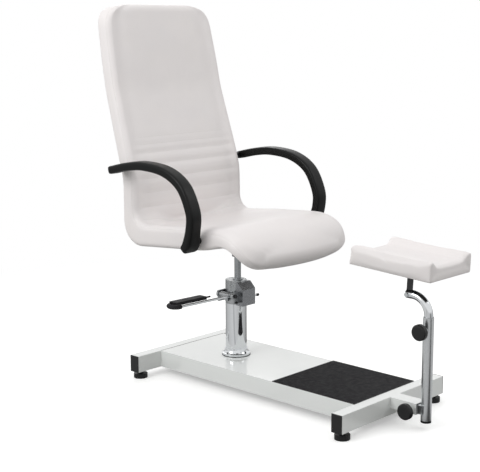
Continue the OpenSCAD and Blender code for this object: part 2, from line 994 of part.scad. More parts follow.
// Plan view of the seat: a rectangle with rounded front corners and a bowed front edge
module plan_outline() {
    front = nose_centre[0] - nose_r * sin(nose_drop) - seat_t / 2;
    corner_x = seat_w / 2 - seat_corner_r;
    right = concat(
        [[seat_w / 2, rear_extent + 1]],
        [for (a = [0:15:75]) [corner_x + seat_corner_r * cos(a), front + seat_bow + seat_corner_r * (1 - sin(a))]],
        [for (k = [1:-0.25:0.25]) [corner_x * k, front + seat_bow * k * k]]
    );
    polygon(concat(right, [for (i = [len(right) - 1:-1:0]) [-right[i][0], right[i][1]]]));
}

module shell_body() {
    difference() {
        intersection() {
            across(seat_w)
                polygon(outline(shell_stations(seat_t / 2, back_t / 2, nose_drop)));
            translate([0, front_y + rear_extent + 1, 0])
                rotate([90, 0, 0])
                    linear_extrude(rear_extent - front_extent + 2)
                        front_outline();
            translate([0, front_y, 0])
                linear_extrude(head_end[1] + back_t)
                    plan_outline();
        }
        ply_solid();
        seat_bolt_bores(bolt_gap);
        at_arm_bolts()
            along_x(arm_bolt_d + 2 * bolt_gap, seat_w / 2);
    }
}

split_y = crease_centre[0];

module seat_pad() {
    color("whitesmoke")
        difference() {
            shell_body();
            translate([-seat_w, front_y + split_y, 0])
                cube([2 * seat_w, seat_w, 3 * seat_w]);
        }
}

module back_pad() {
    color("whitesmoke")
        difference() {
            shell_body();
            translate([-seat_w, front_y + split_y - 2 * seat_w, 0])
                cube([2 * seat_w, 2 * seat_w, 3 * seat_w]);
        }
}

// Armrests: a rounded section carried along the arm's run

arm_path = smooth(arm_points, 3);
arm_round = 10;
arm_section = [
    for (q = [0:3])
        for (a = [0:30:90])
            let (c = [(arm_w / 2 - arm_round) * (q == 0 || q == 3 ? 1 : -1),
                      (arm_t / 2 - arm_round) * (q < 2 ? 1 : -1)])
            c + arm_round * heading(q * 90 + a)
];

// Share of the full section at point i, which rounds both ends
function arm_scale(i) =
    let (k = min(i, len(arm_path) - 1 - i))
    k == 0 ? 0.72 : 1;

module arm_sweep() {
    n = len(arm_section);
    m = len(arm_path);
    points = [
        for (i = [0:m - 1])
            for (s = arm_section)
                let (y_z = arm_path[i] + s[1] * arm_scale(i) * normal(angle_at(arm_path, i)))
                [s[0] * arm_scale(i), y_z[0], y_z[1]]
    ];
    sides = [
        for (i = [0:m - 2])
            for (j = [0:n - 1])
                let (k = (j + 1) % n)
                [i * n + j, i * n + k, (i + 1) * n + k, (i + 1) * n + j]
    ];
    ends = [[for (j = [n - 1:-1:0]) j], [for (j = [0:n - 1]) (m - 1) * n + j]];
    translate([0, front_y, 0])
        polyhedron(points, concat(sides, ends));
}

module armrest() {
    color("black")
        difference() {
            union() {
                translate([arm_x, 0, 0])
                    arm_sweep();
                for (p = [arm_low, arm_up])
                    translate([arm_x - arm_w / 2, front_y + p[0], p[1]])
                        along_x(spacer_d, arm_w / 2);
            }
            for (p = [arm_low, arm_up])
                translate([arm_x - arm_w, front_y + p[0], p[1]]) {
                    along_x(arm_bolt_d + 2 * bolt_gap, 2 * arm_w);
                    translate([1.5 * arm_w - arm_recess, 0, 0])
                        along_x(bolt_head_d + 2 * bolt_gap, arm_recess + 1);
                }
        }
}

module armrest_left() {
    mirror([1, 0, 0])
        armrest();
}

module armrest_right() {
    armrest();
}

module arm_spacers() {
    color("black")
        for (side = [0, 1], p = [arm_low, arm_up])
            mirror([side, 0, 0])
                translate([seat_w / 2, front_y + p[0], p[1]])
                    rotate([0, 90, 0])
                        ring(spacer_d, arm_bolt_d + 2 * bolt_gap, arm_gap);
}

module arm_bolts() {
    head_x = arm_x + arm_w / 2 - arm_recess;
    start_x = ply_w / 2 - arm_bolt_grip;
    color("gray")
        for (side = [0, 1], p = [arm_low, arm_up])
            mirror([side, 0, 0])
                translate([0, front_y + p[0], p[1]]) {
                    translate([start_x, 0, 0])
                        along_x(arm_bolt_d, head_x - start_x);
                    translate([head_x, 0, 0])
                        along_x(bolt_head_d, bolt_head_h);
                }
}

// Leg rest post

stub_z = deck_top - stub_h;
stub_mid_z = stub_z + stub_h / 2;
bar_w = stub_w - 2 * stub_wall - 2 * liner_t - 2 * running;
bar_h = stub_h - 2 * stub_wall - 2 * liner_t - 2 * running;
bar_wall = 2.5;
bar_inset = 2;
lower_clamp_y = front_y - stub_l + lower_clamp_inset;
lower_clamp_z = stub_mid_z - lower_clamp_drop;
upper_clamp_z = post_top - upper_clamp_drop;

module stub_tube() {
    color("gainsboro")
        difference() {
            union() {
                translate([-stub_w / 2, front_y - stub_l, stub_z])
                    cube([stub_w, stub_l, stub_h]);
                translate([-stub_w / 2 - clamp_boss_l, lower_clamp_y, lower_clamp_z])
                    along_x(clamp_boss_d, clamp_boss_l + 1);
            }
            translate([-stub_w / 2 + stub_wall, front_y - stub_l - 1, stub_z + stub_wall])
                cube([stub_w - 2 * stub_wall, stub_l + 2, stub_h - 2 * stub_wall]);
            lower_screw_bore();
        }
}

module lower_screw_bore() {
    translate([-stub_w / 2 - clamp_boss_l - 1, lower_clamp_y, lower_clamp_z])
        along_x(screw_d + 2 * running, clamp_boss_l + stub_wall + liner_t + 2);
}

module stub_liner() {
    w = stub_w - 2 * stub_wall;
    h = stub_h - 2 * stub_wall;
    color("black")
        difference() {
            translate([-w / 2, front_y - stub_l, stub_z + stub_wall])
                cube([w, stub_l, h]);
            translate([-w / 2 + liner_t, front_y - stub_l - 1, stub_z + stub_wall + liner_t])
                cube([w - 2 * liner_t, stub_l + 2, h - 2 * liner_t]);
            lower_screw_bore();
        }
}

module slide_bar() {
    y = front_y - bar_inset;
    color("silver")
        difference() {
            translate([-bar_w / 2, post_y, stub_mid_z - bar_h / 2])
                cube([bar_w, y - post_y, bar_h]);
            translate([-bar_w / 2 + bar_wall, post_y - 1, stub_mid_z - bar_h / 2 + bar_wall])
                cube([bar_w - 2 * bar_wall, y - post_y + 2, bar_h - 2 * bar_wall]);
            translate([0, post_y, 0])
                cylinder(d = post_d, h = post_top);
            translate([-bar_w, post_y - post_d, 0])
                cube([2 * bar_w, post_d, post_top]);
        }
}

module post_tube() {
    z = post_bottom + post_cap_h;
    color("silver")
        difference() {
            union() {
                translate([0, post_y, z])
                    cylinder(d = post_d, h = post_top - z);
                translate([-post_d / 2 - upper_boss_l, post_y, upper_clamp_z])
                    along_x(clamp_boss_d, upper_boss_l + 3);
            }
            translate([0, post_y, z - 1])
                cylinder(d = post_d - 2 * post_wall, h = post_top);
            translate([-post_d / 2 - upper_boss_l - 1, post_y, upper_clamp_z])
                along_x(screw_d + 2 * running, upper_boss_l + post_d / 2);
        }
}

module post_cap() {
    color("black")
        translate([0, post_y, post_bottom]) {
            cylinder(d = post_d, h = post_cap_h);
            cylinder(d = post_d - 2 * post_wall - 2 * running, h = post_cap_h + post_plug_h);
        }
}

module post_collar() {
    color("black")
        translate([0, post_y, post_top - collar_h])
            ring(post_d - 2 * post_wall, riser_d + 2 * running, collar_h);
}

// Clamp knob with its hub on the +X side and its bore along X, hub face at X = 0
module clamp_knob() {
    dome = 4;
    rotate([0, -90, 0])
        difference() {
            rotate_extrude()
                polygon([
                    [0, 0],
                    [knob_hub_d / 2, 0],
                    [knob_hub_d / 2, knob_hub_l],
                    [knob_d / 2 - 2, knob_hub_l],
                    [knob_d / 2, knob_hub_l + 2],
                    [knob_d / 2, knob_hub_l + knob_t - dome],
                    [knob_d / 2 - dome / 2, knob_hub_l + knob_t - dome / 4],
                    [knob_d / 2 - 2 * dome, knob_hub_l + knob_t],
                    [0, knob_hub_l + knob_t]
                ]);
            translate([0, 0, -1])
                cylinder(d = screw_d + 2 * running, h = knob_seat + 1);
        }
}

module lower_knob() {
    color("black")
        translate([-stub_w / 2 - clamp_boss_l - face_gap, lower_clamp_y, lower_clamp_z])
            clamp_knob();
}

module lower_screw() {
    start = -stub_w / 2 - clamp_boss_l - face_gap - knob_seat;
    tip = -bar_w / 2 - face_gap;
    color("gray")
        translate([start, lower_clamp_y, lower_clamp_z])
            along_x(screw_d, tip - start);
}

module upper_knob() {
    color("black")
        translate([-post_d / 2 - upper_boss_l - face_gap, post_y, upper_clamp_z])
            clamp_knob();
}

module upper_screw() {
    start = -post_d / 2 - upper_boss_l - face_gap - knob_seat;
    tip = -riser_d / 2 - face_gap;
    color("gray")
        translate([start, post_y, upper_clamp_z])
            along_x(screw_d, tip - start);
}

// Riser

riser_z = post_top - riser_leg;

module riser_glide() {
    color("dimgray")
        translate([0, post_y, riser_z - glide_floor])
            difference() {
                cylinder(d = post_d - 2 * post_wall - 2 * running, h = glide_floor + glide_h);
                translate([0, 0, glide_floor])
                    cylinder(d = riser_d + 2 * running, h = glide_h + 1);
            }
}

module riser_line(d, extra) {
    translate([0, post_y, riser_z - extra])
        cylinder(d = d, h = riser_bend_z - riser_z + extra);
    translate([0, post_y + bend_r, riser_bend_z])
        rotate([90, 0, -90])
            rotate_extrude(angle = 90)
                translate([bend_r, 0])
                    circle(d = d);
    translate([0, post_y + bend_r, pivot_z])
        along_y(d, riser_tail + extra);
}

module riser_tube() {
    reach = tongue_w + 6;
    color("lightgray")
        difference() {
            riser_line(riser_d, 0);
            riser_line(riser_d - 2 * riser_wall, 1);
            translate([-tongue_t / 2 - face_gap, pivot_y - reach, pivot_z - tongue_w / 2])
                cube([tongue_t + 2 * face_gap, reach + 2 * tongue_w, 2 * tongue_w]);
            translate([-riser_d, pivot_y, pivot_z])
                along_x(tilt_bolt_d + 2 * running, 2 * riser_d);
        }
}

module tilt_bolt() {
    color("gray")
        translate([0, pivot_y, pivot_z]) {
            translate([-riser_d / 2, 0, 0])
                along_x(tilt_bolt_d, riser_d);
            translate([-riser_d / 2 - bolt_head_h, 0, 0])
                along_x(bolt_head_d, bolt_head_h);
            translate([riser_d / 2, 0, 0])
                rotate([0, 90, 0])
                    cylinder(d = bolt_head_d, h = bolt_head_h + 1, $fn = 6);
        }
}

// Leg rest

// Places children at the tilt pivot, in the cushion's own tilted frame
module tilted() {
    translate([0, pivot_y, pivot_z])
        rotate([rest_tilt, 0, 0])
            children();
}

module at_rest_screws() {
    for (x = [-1, 1], y = [-1, 1])
        translate([x * (bracket_plate_w / 2 - 10), y * (bracket_plate_l / 2 - 10), 0])
            children();
}

module tilt_bracket() {
    plate_z = bracket_h - bracket_plate_t;
    color("black")
        tilted()
            difference() {
                union() {
                    translate([-tongue_t / 2, 0, 0])
                        along_x(tongue_w, tongue_t);
                    translate([-tongue_t / 2, -tongue_w / 2, 0])
                        cube([tongue_t, tongue_w, plate_z]);
                    translate([-bracket_plate_w / 2, -bracket_plate_l / 2, plate_z])
                        cube([bracket_plate_w, bracket_plate_l, bracket_plate_t]);
                }
                translate([-tongue_t, 0, 0])
                    along_x(tilt_bolt_d + 2 * running, 2 * tongue_t);
                at_rest_screws()
                    translate([0, 0, plate_z - 1])
                        cylinder(d = rest_screw_d + 2 * bolt_gap, h = bracket_plate_t + 2);
            }
}

module bracket_screws() {
    plate_z = bracket_h - bracket_plate_t;
    color("gray")
        tilted()
            at_rest_screws() {
                translate([0, 0, plate_z - 3])
                    cylinder(d = 2 * rest_screw_d, h = 3);
                translate([0, 0, plate_z])
                    cylinder(d = rest_screw_d, h = bracket_plate_t + rest_board_t - 2);
            }
}

module rest_board_block() {
    w = rest_w - 2 * rest_board_margin;
    l = rest_l - 2 * rest_board_margin;
    translate([-w / 2, rest_shift - l / 2, bracket_h])
        cube([w, l, rest_board_t]);
}

module footrest_board() {
    color("burlywood")
        tilted()
            difference() {
                rest_board_block();
                at_rest_screws()
                    translate([0, 0, bracket_h - 1])
                        cylinder(d = rest_screw_d + 2 * running, h = rest_board_t - 1);
            }
}

module footrest_cushion() {
    half_w = rest_w / 2;
    half_trough = trough_w / 2;
    half = [
        [half_trough, trough_h],
        [half_w - crest_w - 6, ridge_h - 2],
        [half_w - crest_w, ridge_h],
        [half_w - 3, ridge_h],
        [half_w, ridge_h - 4],
        [half_w, 0]
    ];
    color("whitesmoke")
        tilted()
            difference() {
                translate([0, rest_shift + rest_l / 2, bracket_h])
                    rotate([90, 0, 0])
                        linear_extrude(rest_l)
                            polygon(concat(
                                half,
                                [for (i = [len(half) - 1:-1:0]) [-half[i][0], half[i][1]]]
                            ));
                rest_board_block();
            }
}

front_crossbeam();
rear_crossbeam();
deck_plate();
deck_ribs();
mounting_plate();
crossbeam_caps();
foot_nuts();
tread_mat();
stub_tube();
stub_liner();
socket_ring();
ring_gasket();
socket_screws();
column_sleeve();
pump_cylinder();
pump_head();
pump_cover();
pump_gland();
pedal_pin();
foot_front_left();
foot_front_right();
foot_rear_left();
foot_rear_right();
stud_front_left();
stud_front_right();
stud_rear_left();
stud_rear_right();
pedal_hub();
pedal_loop();
pedal_tread();
pump_plunger();
release_rod();
release_cap();
ram_rod();
ram_socket();
seat_plate();
seat_bolts();
seat_shell();
seat_pad();
back_pad();
armrest_left();
armrest_right();
arm_spacers();
arm_bolts();
slide_bar();
post_tube();
post_cap();
post_collar();
lower_knob();
lower_screw();
upper_knob();
upper_screw();
riser_glide();
riser_tube();
tilt_bolt();
tilt_bracket();
bracket_screws();
footrest_board();
footrest_cushion();
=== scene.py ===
"""Looks of the pedicure chair: its upholstery, finishes, floor, lights and camera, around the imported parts.

Lengths are metres in the part's own frame. The person sits facing -Y, and Z = 0 is the floor. "From the front"
is a distance from the front face of the base, as in the part's source.
"""

import json
import math

import bmesh
import bpy
import numpy as np
from mathutils import Matrix, Vector, noise

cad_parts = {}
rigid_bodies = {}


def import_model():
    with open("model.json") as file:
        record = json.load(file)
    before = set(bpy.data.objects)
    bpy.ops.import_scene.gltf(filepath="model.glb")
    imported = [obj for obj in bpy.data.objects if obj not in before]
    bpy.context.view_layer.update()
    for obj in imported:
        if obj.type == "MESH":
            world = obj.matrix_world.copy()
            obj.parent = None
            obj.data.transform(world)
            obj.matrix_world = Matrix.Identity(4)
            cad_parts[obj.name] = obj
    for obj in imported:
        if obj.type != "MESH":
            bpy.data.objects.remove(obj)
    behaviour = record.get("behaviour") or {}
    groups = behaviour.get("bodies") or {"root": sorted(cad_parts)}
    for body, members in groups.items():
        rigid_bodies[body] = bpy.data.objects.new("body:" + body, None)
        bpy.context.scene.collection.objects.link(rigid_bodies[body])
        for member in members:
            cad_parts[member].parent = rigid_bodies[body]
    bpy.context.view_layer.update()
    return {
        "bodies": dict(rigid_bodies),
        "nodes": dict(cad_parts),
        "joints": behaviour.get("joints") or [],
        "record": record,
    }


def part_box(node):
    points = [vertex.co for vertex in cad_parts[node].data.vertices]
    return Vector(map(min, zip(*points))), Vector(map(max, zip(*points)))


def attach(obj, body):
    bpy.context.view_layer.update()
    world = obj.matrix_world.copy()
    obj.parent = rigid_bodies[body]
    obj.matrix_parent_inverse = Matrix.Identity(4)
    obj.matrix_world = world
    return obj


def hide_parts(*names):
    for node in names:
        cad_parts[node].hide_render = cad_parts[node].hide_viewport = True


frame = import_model()
front_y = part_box("front_crossbeam")[0].y
mm = 0.001


# Camera, floor and lights

CAMERA_AT = (-2.875563, -2.516033, 1.248213)
CAMERA_AZIMUTH = math.radians(-46.511)
CAMERA_RISE = math.radians(10.414)
CAMERA_ROLL = math.radians(-0.217)
CAMERA_LENS = 85.242


def make_camera():
    data = bpy.data.cameras.new("camera")
    data.lens = CAMERA_LENS
    data.sensor_width = 36
    data.sensor_fit = "HORIZONTAL"
    camera = bpy.data.objects.new("camera", data)
    bpy.context.scene.collection.objects.link(camera)
    back = Vector((
        math.sin(CAMERA_AZIMUTH) * math.cos(CAMERA_RISE),
        -math.cos(CAMERA_AZIMUTH) * math.cos(CAMERA_RISE),
        math.sin(CAMERA_RISE),
    ))
    right = (-back).cross(Vector((0, 0, 1))).normalized()
    up = right.cross(-back)
    c, s = math.cos(CAMERA_ROLL), math.sin(CAMERA_ROLL)
    turned_right, turned_up = right * c + up * s, up * c - right * s
    camera.matrix_world = Matrix.Translation(CAMERA_AT) @ Matrix((turned_right, turned_up, back)).transposed().to_4x4()
    bpy.context.scene.camera = camera


def linear(hex_colour):
    """A hex colour, as seen on a screen, turned to the linear values that a shader takes."""
    channels = [int(hex_colour[i : i + 2], 16) / 255 for i in (1, 3, 5)]
    return [c / 12.92 if c <= 0.04045 else ((c + 0.055) / 1.055) ** 2.4 for c in channels] + [1.0]


def add(tree, kind, inputs=None, **settings):
    """A shader node with its settings. An input that is another node's output is linked, and any other is set."""
    made = tree.nodes.new(kind)
    for key, value in settings.items():
        setattr(made, key, value)
    for key, value in (inputs or {}).items():
        if isinstance(value, bpy.types.NodeSocket):
            tree.links.new(value, made.inputs[key])
        else:
            made.inputs[key].default_value = value
    return made


def blend_colours(tree, share, low, high):
    mix = add(tree, "ShaderNodeMix", {"Factor": share}, data_type="RGBA")
    mix.inputs["A"].default_value = linear(low)
    mix.inputs["B"].default_value = linear(high)
    return mix.outputs["Result"]


def map_range(tree, value, start, end, low=0.0, high=1.0, **settings):
    inputs = {"Value": value, "From Min": start, "From Max": end, "To Min": low, "To Max": high}
    return add(tree, "ShaderNodeMapRange", inputs, **settings).outputs["Result"]


WHITE = (1, 1, 1, 1)
FLOOR_SIZE = 14.0
FLOOR_COLOUR = "#F4F4F3"
FLOOR_BOUNCE = "#989896"  # the floor's colour as it lights the chair
FLOOR_GLOW = 0.34
FLOOR_FADE = (1.1, 2.4)  # distances from the chair's middle between which the floor turns plain white
WORLD_FILL = 0.69
RING_FADE = (-0.02, 0.12)  # heights of a direction between which the ring gives way to white
RING_END = (0.04, 0.04, 0.04, 1)
STUDIO_LEVELS = [(0.018, 0.05), (0.032, 0.6), (0.2, 0.75), (0.235, 0.5), (0.27, 0.8), (0.42, 0.65), (0.50, 0.45),
                 (0.58, 0.3), (0.62, 0.08), (0.655, 0.08), (0.70, 0.3), (0.78, 0.5), (0.97, 0.7), (0.984, 0.05)]


def studio_ring(tree, direction):
    """Colour of the studio's low ring and height of a direction: pale walls with dark gaps give metal its edges."""
    parts = add(tree, "ShaderNodeSeparateXYZ", {0: direction}).outputs
    turn = add(tree, "ShaderNodeMath", {0: parts["X"], 1: parts["Y"]}, operation="ARCTAN2").outputs[0]
    ramp = add(tree, "ShaderNodeValToRGB", {"Fac": map_range(tree, turn, -math.pi, math.pi)})
    stops = ramp.color_ramp.elements
    stops[0].position, stops[0].color = 0.0, RING_END
    stops[1].position, stops[1].color = 1.0, RING_END
    for place, level in STUDIO_LEVELS:
        stop = stops.new(place)
        stop.color = (level, level, level, 1)
    return ramp.outputs["Color"], parts["Z"]


def make_floor():
    """A pale floor with the chair's soft shadow, which turns plain white to the camera away from the chair."""
    bpy.ops.mesh.primitive_plane_add(size=FLOOR_SIZE)
    floor = bpy.context.active_object
    floor.name = "floor"
    material = bpy.data.materials.new("studio_floor")
    material.use_nodes = True
    tree = material.node_tree
    tree.nodes.clear()
    coords = add(tree, "ShaderNodeTexCoord").outputs["Object"]
    grain = add(tree, "ShaderNodeTexNoise", {"Vector": coords, "Scale": 90.0, "Detail": 4.0}).outputs["Fac"]
    paint = add(tree, "ShaderNodeBsdfPrincipled", {"Base Color": linear(FLOOR_COLOUR), "Roughness": 0.6})
    bump = add(tree, "ShaderNodeBump", {"Height": grain, "Distance": 0.0002, "Strength": 0.2})
    tree.links.new(bump.outputs["Normal"], paint.inputs["Normal"])
    glow = add(tree, "ShaderNodeEmission", {"Color": WHITE, "Strength": FLOOR_GLOW})
    lit = add(tree, "ShaderNodeAddShader")
    tree.links.new(paint.outputs[0], lit.inputs[0])
    tree.links.new(glow.outputs[0], lit.inputs[1])
    white = add(tree, "ShaderNodeEmission", {"Color": WHITE, "Strength": 1.0})
    far = add(tree, "ShaderNodeVectorMath", {0: coords}, operation="LENGTH").outputs["Value"]
    fade = map_range(tree, far, *FLOOR_FADE, interpolation_type="SMOOTHSTEP")
    shown = add(tree, "ShaderNodeMixShader", {0: fade, 1: lit.outputs[0], 2: white.outputs[0]})
    in_metal = add(tree, "ShaderNodeEmission", {"Color": studio_ring(tree, coords)[0], "Strength": 1.0})
    bounce = add(tree, "ShaderNodeBsdfDiffuse", {"Color": linear(FLOOR_BOUNCE)})
    rays = add(tree, "ShaderNodeLightPath").outputs
    unseen = add(tree, "ShaderNodeMixShader", {0: rays["Is Glossy Ray"], 1: bounce.outputs[0], 2: in_metal.outputs[0]})
    mixed = add(tree, "ShaderNodeMixShader", {0: rays["Is Camera Ray"], 1: unseen.outputs[0], 2: shown.outputs[0]})
    add(tree, "ShaderNodeOutputMaterial", {"Surface": mixed.outputs[0]})
    floor.data.materials.append(material)


def make_world():
    """White behind the chair, and an even grey as its light. Metal sees white above and the studio's ring low down."""
    world = bpy.data.worlds.new("studio")
    bpy.context.scene.world = world
    world.use_nodes = True
    tree = world.node_tree
    tree.nodes.clear()
    ring, height = studio_ring(tree, add(tree, "ShaderNodeTexCoord").outputs["Generated"])
    above = map_range(tree, height, *RING_FADE)
    studio = add(tree, "ShaderNodeMix", {"Factor": above, "A": ring, "B": WHITE}, data_type="RGBA")
    rays = add(tree, "ShaderNodeLightPath").outputs
    in_metal = {"Factor": rays["Is Glossy Ray"], "B": studio.outputs["Result"]}
    level = add(tree, "ShaderNodeMix", in_metal, data_type="RGBA")
    level.inputs["A"].default_value = (WORLD_FILL, WORLD_FILL, WORLD_FILL, 1)
    either = {0: rays["Is Camera Ray"], 1: rays["Is Transmission Ray"]}
    clear = add(tree, "ShaderNodeMath", either, operation="MAXIMUM")
    behind = {"Factor": clear.outputs[0], "A": level.outputs["Result"], "B": WHITE}
    shown = add(tree, "ShaderNodeMix", behind, data_type="RGBA")
    sky = add(tree, "ShaderNodeBackground", {"Color": shown.outputs["Result"], "Strength": 1.0})
    add(tree, "ShaderNodeOutputWorld", {"Surface": sky.outputs[0]})


def make_lamp(name, place, target, size, watts):
    data = bpy.data.lights.new(name, "AREA")
    data.shape = "RECTANGLE"
    data.size, data.size_y = size
    data.energy = watts
    lamp = bpy.data.objects.new(name, data)
    bpy.context.scene.collection.objects.link(lamp)
    lamp.location = place
    lamp.rotation_euler = (Vector(place) - Vector(target)).to_track_quat("Z", "Y").to_euler()


def make_studio():
    make_floor()
    make_world()
    make_lamp("overhead_lamp", (-0.4, -0.4, 3.1), (0, 0.1, 0.4), (2.4, 2.4), 4)
    make_lamp("left_lamp", (-3.1, 0.7, 2.2), (0, 0.1, 0.6), (1.6, 2.0), 46)
    make_lamp("right_lamp", (1.5, -1.9, 2.9), (0, 0.1, 0.7), (1.6, 1.6), 14)
    make_lamp("rear_lamp", (1.8, 2.6, 2.0), (0, 0.2, 0.1), (1.6, 1.6), 10)
    bpy.context.scene.view_settings.view_transform = "Standard"


# Finishes. Each one's patterns read Object coordinates, at real sizes: features in mm, and depths of relief in mm.


def start_finish(name, colour, roughness, **shader):
    """A material, its node tree, its Principled shader and the Object coordinates."""
    material = bpy.data.materials.new(name)
    material.use_nodes = True
    tree = material.node_tree
    surface = tree.nodes["Principled BSDF"]
    surface.inputs["Base Color"].default_value = linear(colour)
    surface.inputs["Roughness"].default_value = roughness
    for key, value in shader.items():
        surface.inputs[key.replace("_", " ").title().replace("Ior", "IOR")].default_value = value
    coords = add(tree, "ShaderNodeTexCoord").outputs["Object"]
    return material, tree, surface, coords


def noise_map(tree, coords, size_mm, detail, **more):
    """Noise with features of the given size."""
    inputs = {"Vector": coords, "Scale": 1 / (size_mm * mm), "Detail": detail, **more}
    return add(tree, "ShaderNodeTexNoise", inputs).outputs["Fac"]


def cell_map(tree, coords, size_mm, **settings):
    """Distance to the nearest of many scattered points, for pits or pebbles of the given size."""
    cells = add(tree, "ShaderNodeTexVoronoi", {"Vector": coords, "Scale": 1 / (size_mm * mm)}, **settings)
    return cells.outputs["Distance"]


def stretched(tree, coords, scale):
    """Coordinates for a pattern that is drawn out along the axes with a small scale."""
    return add(tree, "ShaderNodeMapping", {"Vector": coords, "Scale": scale}).outputs[0]


def mottle(tree, coords, surface, size_mm, low, high):
    """Slow colour variation between two close colours."""
    spots = noise_map(tree, coords, size_mm, 3.0)
    tree.links.new(blend_colours(tree, spots, low, high), surface.inputs["Base Color"])


def set_gloss(tree, surface, pattern, low, high):
    """Roughness between two values, by the middle part of a pattern."""
    tree.links.new(map_range(tree, pattern, 0.3, 0.7, low, high), surface.inputs["Roughness"])


def vary_gloss(tree, coords, surface, size_mm, low, high):
    set_gloss(tree, surface, noise_map(tree, coords, size_mm, 4.0), low, high)


def relief(tree, surface, *layers):
    """Bump from one or more (height socket, depth in mm, strength) layers, the coarsest first."""
    normal = None
    for height, depth_mm, strength in layers:
        inputs = {"Height": height, "Distance": depth_mm * mm, "Strength": strength}
        if normal:
            inputs["Normal"] = normal
        normal = add(tree, "ShaderNodeBump", inputs).outputs["Normal"]
    tree.links.new(normal, surface.inputs["Normal"])


def gloss_powder_coat():
    # Polyester powder coat on folded steel: pale grey, glossy enough to mirror the pump, with a faint orange peel.
    lacquer = {"coat_weight": 0.8, "coat_roughness": 0.05}
    material, tree, surface, coords = start_finish("gloss_powder_coat", "#EDF0EE", 0.14, **lacquer)
    mottle(tree, coords, surface, 140, "#EBEEEC", "#F0F2F0")
    vary_gloss(tree, coords, surface, 60, 0.11, 0.19)
    relief(tree, surface, (noise_map(tree, coords, 3.2, 2.0), 0.03, 0.25))
    return material


def moulded_nylon():
    # Glass-filled nylon, injection moulded: near black, with the soft sheen of a spark-eroded mould.
    material, tree, surface, coords = start_finish("moulded_nylon", "#101112", 0.42, specular_ior_level=0.35)
    mottle(tree, coords, surface, 18, "#0E0F10", "#151617")
    vary_gloss(tree, coords, surface, 9, 0.36, 0.5)
    relief(tree, surface, (noise_map(tree, coords, 0.7, 2.0), 0.06, 0.5))
    return material


def tread_rubber():
    # Moulded rubber: dark grey, dull, with dust in its hollows.
    material, tree, surface, coords = start_finish("tread_rubber", "#19181B", 0.6, specular_ior_level=0.25)
    mottle(tree, coords, surface, 22, "#161518", "#1E1D20")
    vary_gloss(tree, coords, surface, 14, 0.5, 0.72)
    relief(tree, surface, (noise_map(tree, coords, 0.9, 3.0), 0.08, 0.6))
    return material


def chrome_plate():
    # Polished tube, nickel and chrome plated: a near mirror, slightly wavy, with a breath of polishing haze.
    material, tree, surface, coords = start_finish("chrome_plate", "#D6D9DB", 0.05, metallic=1.0)
    mottle(tree, coords, surface, 40, "#D2D5D8", "#DCDEDF")
    vary_gloss(tree, coords, surface, 16, 0.035, 0.085)
    relief(tree, surface, (noise_map(tree, coords, 14, 1.0), 0.05, 0.15))
    return material


def drawn_satin_steel():
    # Drawn steel tube with a satin plating: brushed along its length.
    material, tree, surface, coords = start_finish("drawn_satin_steel", "#C9CBCD", 0.3, metallic=1.0)
    mottle(tree, coords, surface, 30, "#C3C6C8", "#CFD1D2")
    lines = noise_map(tree, stretched(tree, coords, (1.0, 1.0, 0.02)), 0.8, 3.0)
    set_gloss(tree, surface, lines, 0.24, 0.36)
    relief(tree, surface, (lines, 0.02, 0.3))
    return material


def plated_casting(name, colour, low, high):
    # Cast iron under thin nickel: grey and sandy, with the casting's fine pits still showing.
    material, tree, surface, coords = start_finish(name, colour, 0.3, metallic=1.0)
    mottle(tree, coords, surface, 6, low, high)
    vary_gloss(tree, coords, surface, 4, 0.18, 0.42)
    relief(tree, surface, (noise_map(tree, coords, 4.5, 3.0), 0.35, 0.6), (cell_map(tree, coords, 1.6), 0.12, 0.5))
    return material


def shaded_ground_rod():
    # Ground and hard-chromed piston rod, with fine rings from the grinding. Its base colour, darker than plain chrome,
    # is painted shade for the dark surroundings it mirrors.
    material, tree, surface, coords = start_finish("shaded_ground_rod", "#989B9D", 0.2, metallic=1.0)
    mottle(tree, coords, surface, 12, "#8F9294", "#A3A6A8")
    rings = stretched(tree, coords, (0.05, 0.05, 1.0))
    vary_gloss(tree, rings, surface, 2, 0.16, 0.26)
    relief(tree, surface, (noise_map(tree, rings, 0.6, 2.0), 0.01, 0.3))
    return material


def zinc_plate():
    # Zinc-plated fixings: pale metal with a slight bluish bloom.
    material, tree, surface, coords = start_finish("zinc_plate", "#BFC4C6", 0.32, metallic=1.0)
    mottle(tree, coords, surface, 5, "#B7BCBF", "#CBCECE")
    vary_gloss(tree, coords, surface, 3, 0.26, 0.42)
    relief(tree, surface, (noise_map(tree, coords, 1.2, 2.0), 0.03, 0.4))
    return material


def black_enamel():
    # Stoved black enamel on flat steel: dark, fairly glossy, a little wavy.
    material, tree, surface, coords = start_finish("black_enamel", "#151618", 0.24)
    mottle(tree, coords, surface, 20, "#131416", "#1B1C1F")
    vary_gloss(tree, coords, surface, 12, 0.2, 0.3)
    relief(tree, surface, (noise_map(tree, coords, 2.4, 1.0), 0.04, 0.3))
    return material


def integral_skin_foam():
    # Self-skinned polyurethane, moulded on a steel core: charcoal, satin, with a fine leather print.
    material, tree, surface, coords = start_finish("integral_skin_foam", "#050606", 0.36, specular_ior_level=0.2)
    mottle(tree, coords, surface, 45, "#040505", "#080909")
    vary_gloss(tree, coords, surface, 20, 0.30, 0.42)
    leather_print = cell_map(tree, coords, 1.3, feature="SMOOTH_F1")
    relief(tree, surface, (noise_map(tree, coords, 18, 2.0), 0.5, 0.25), (leather_print, 0.09, 0.45))
    return material


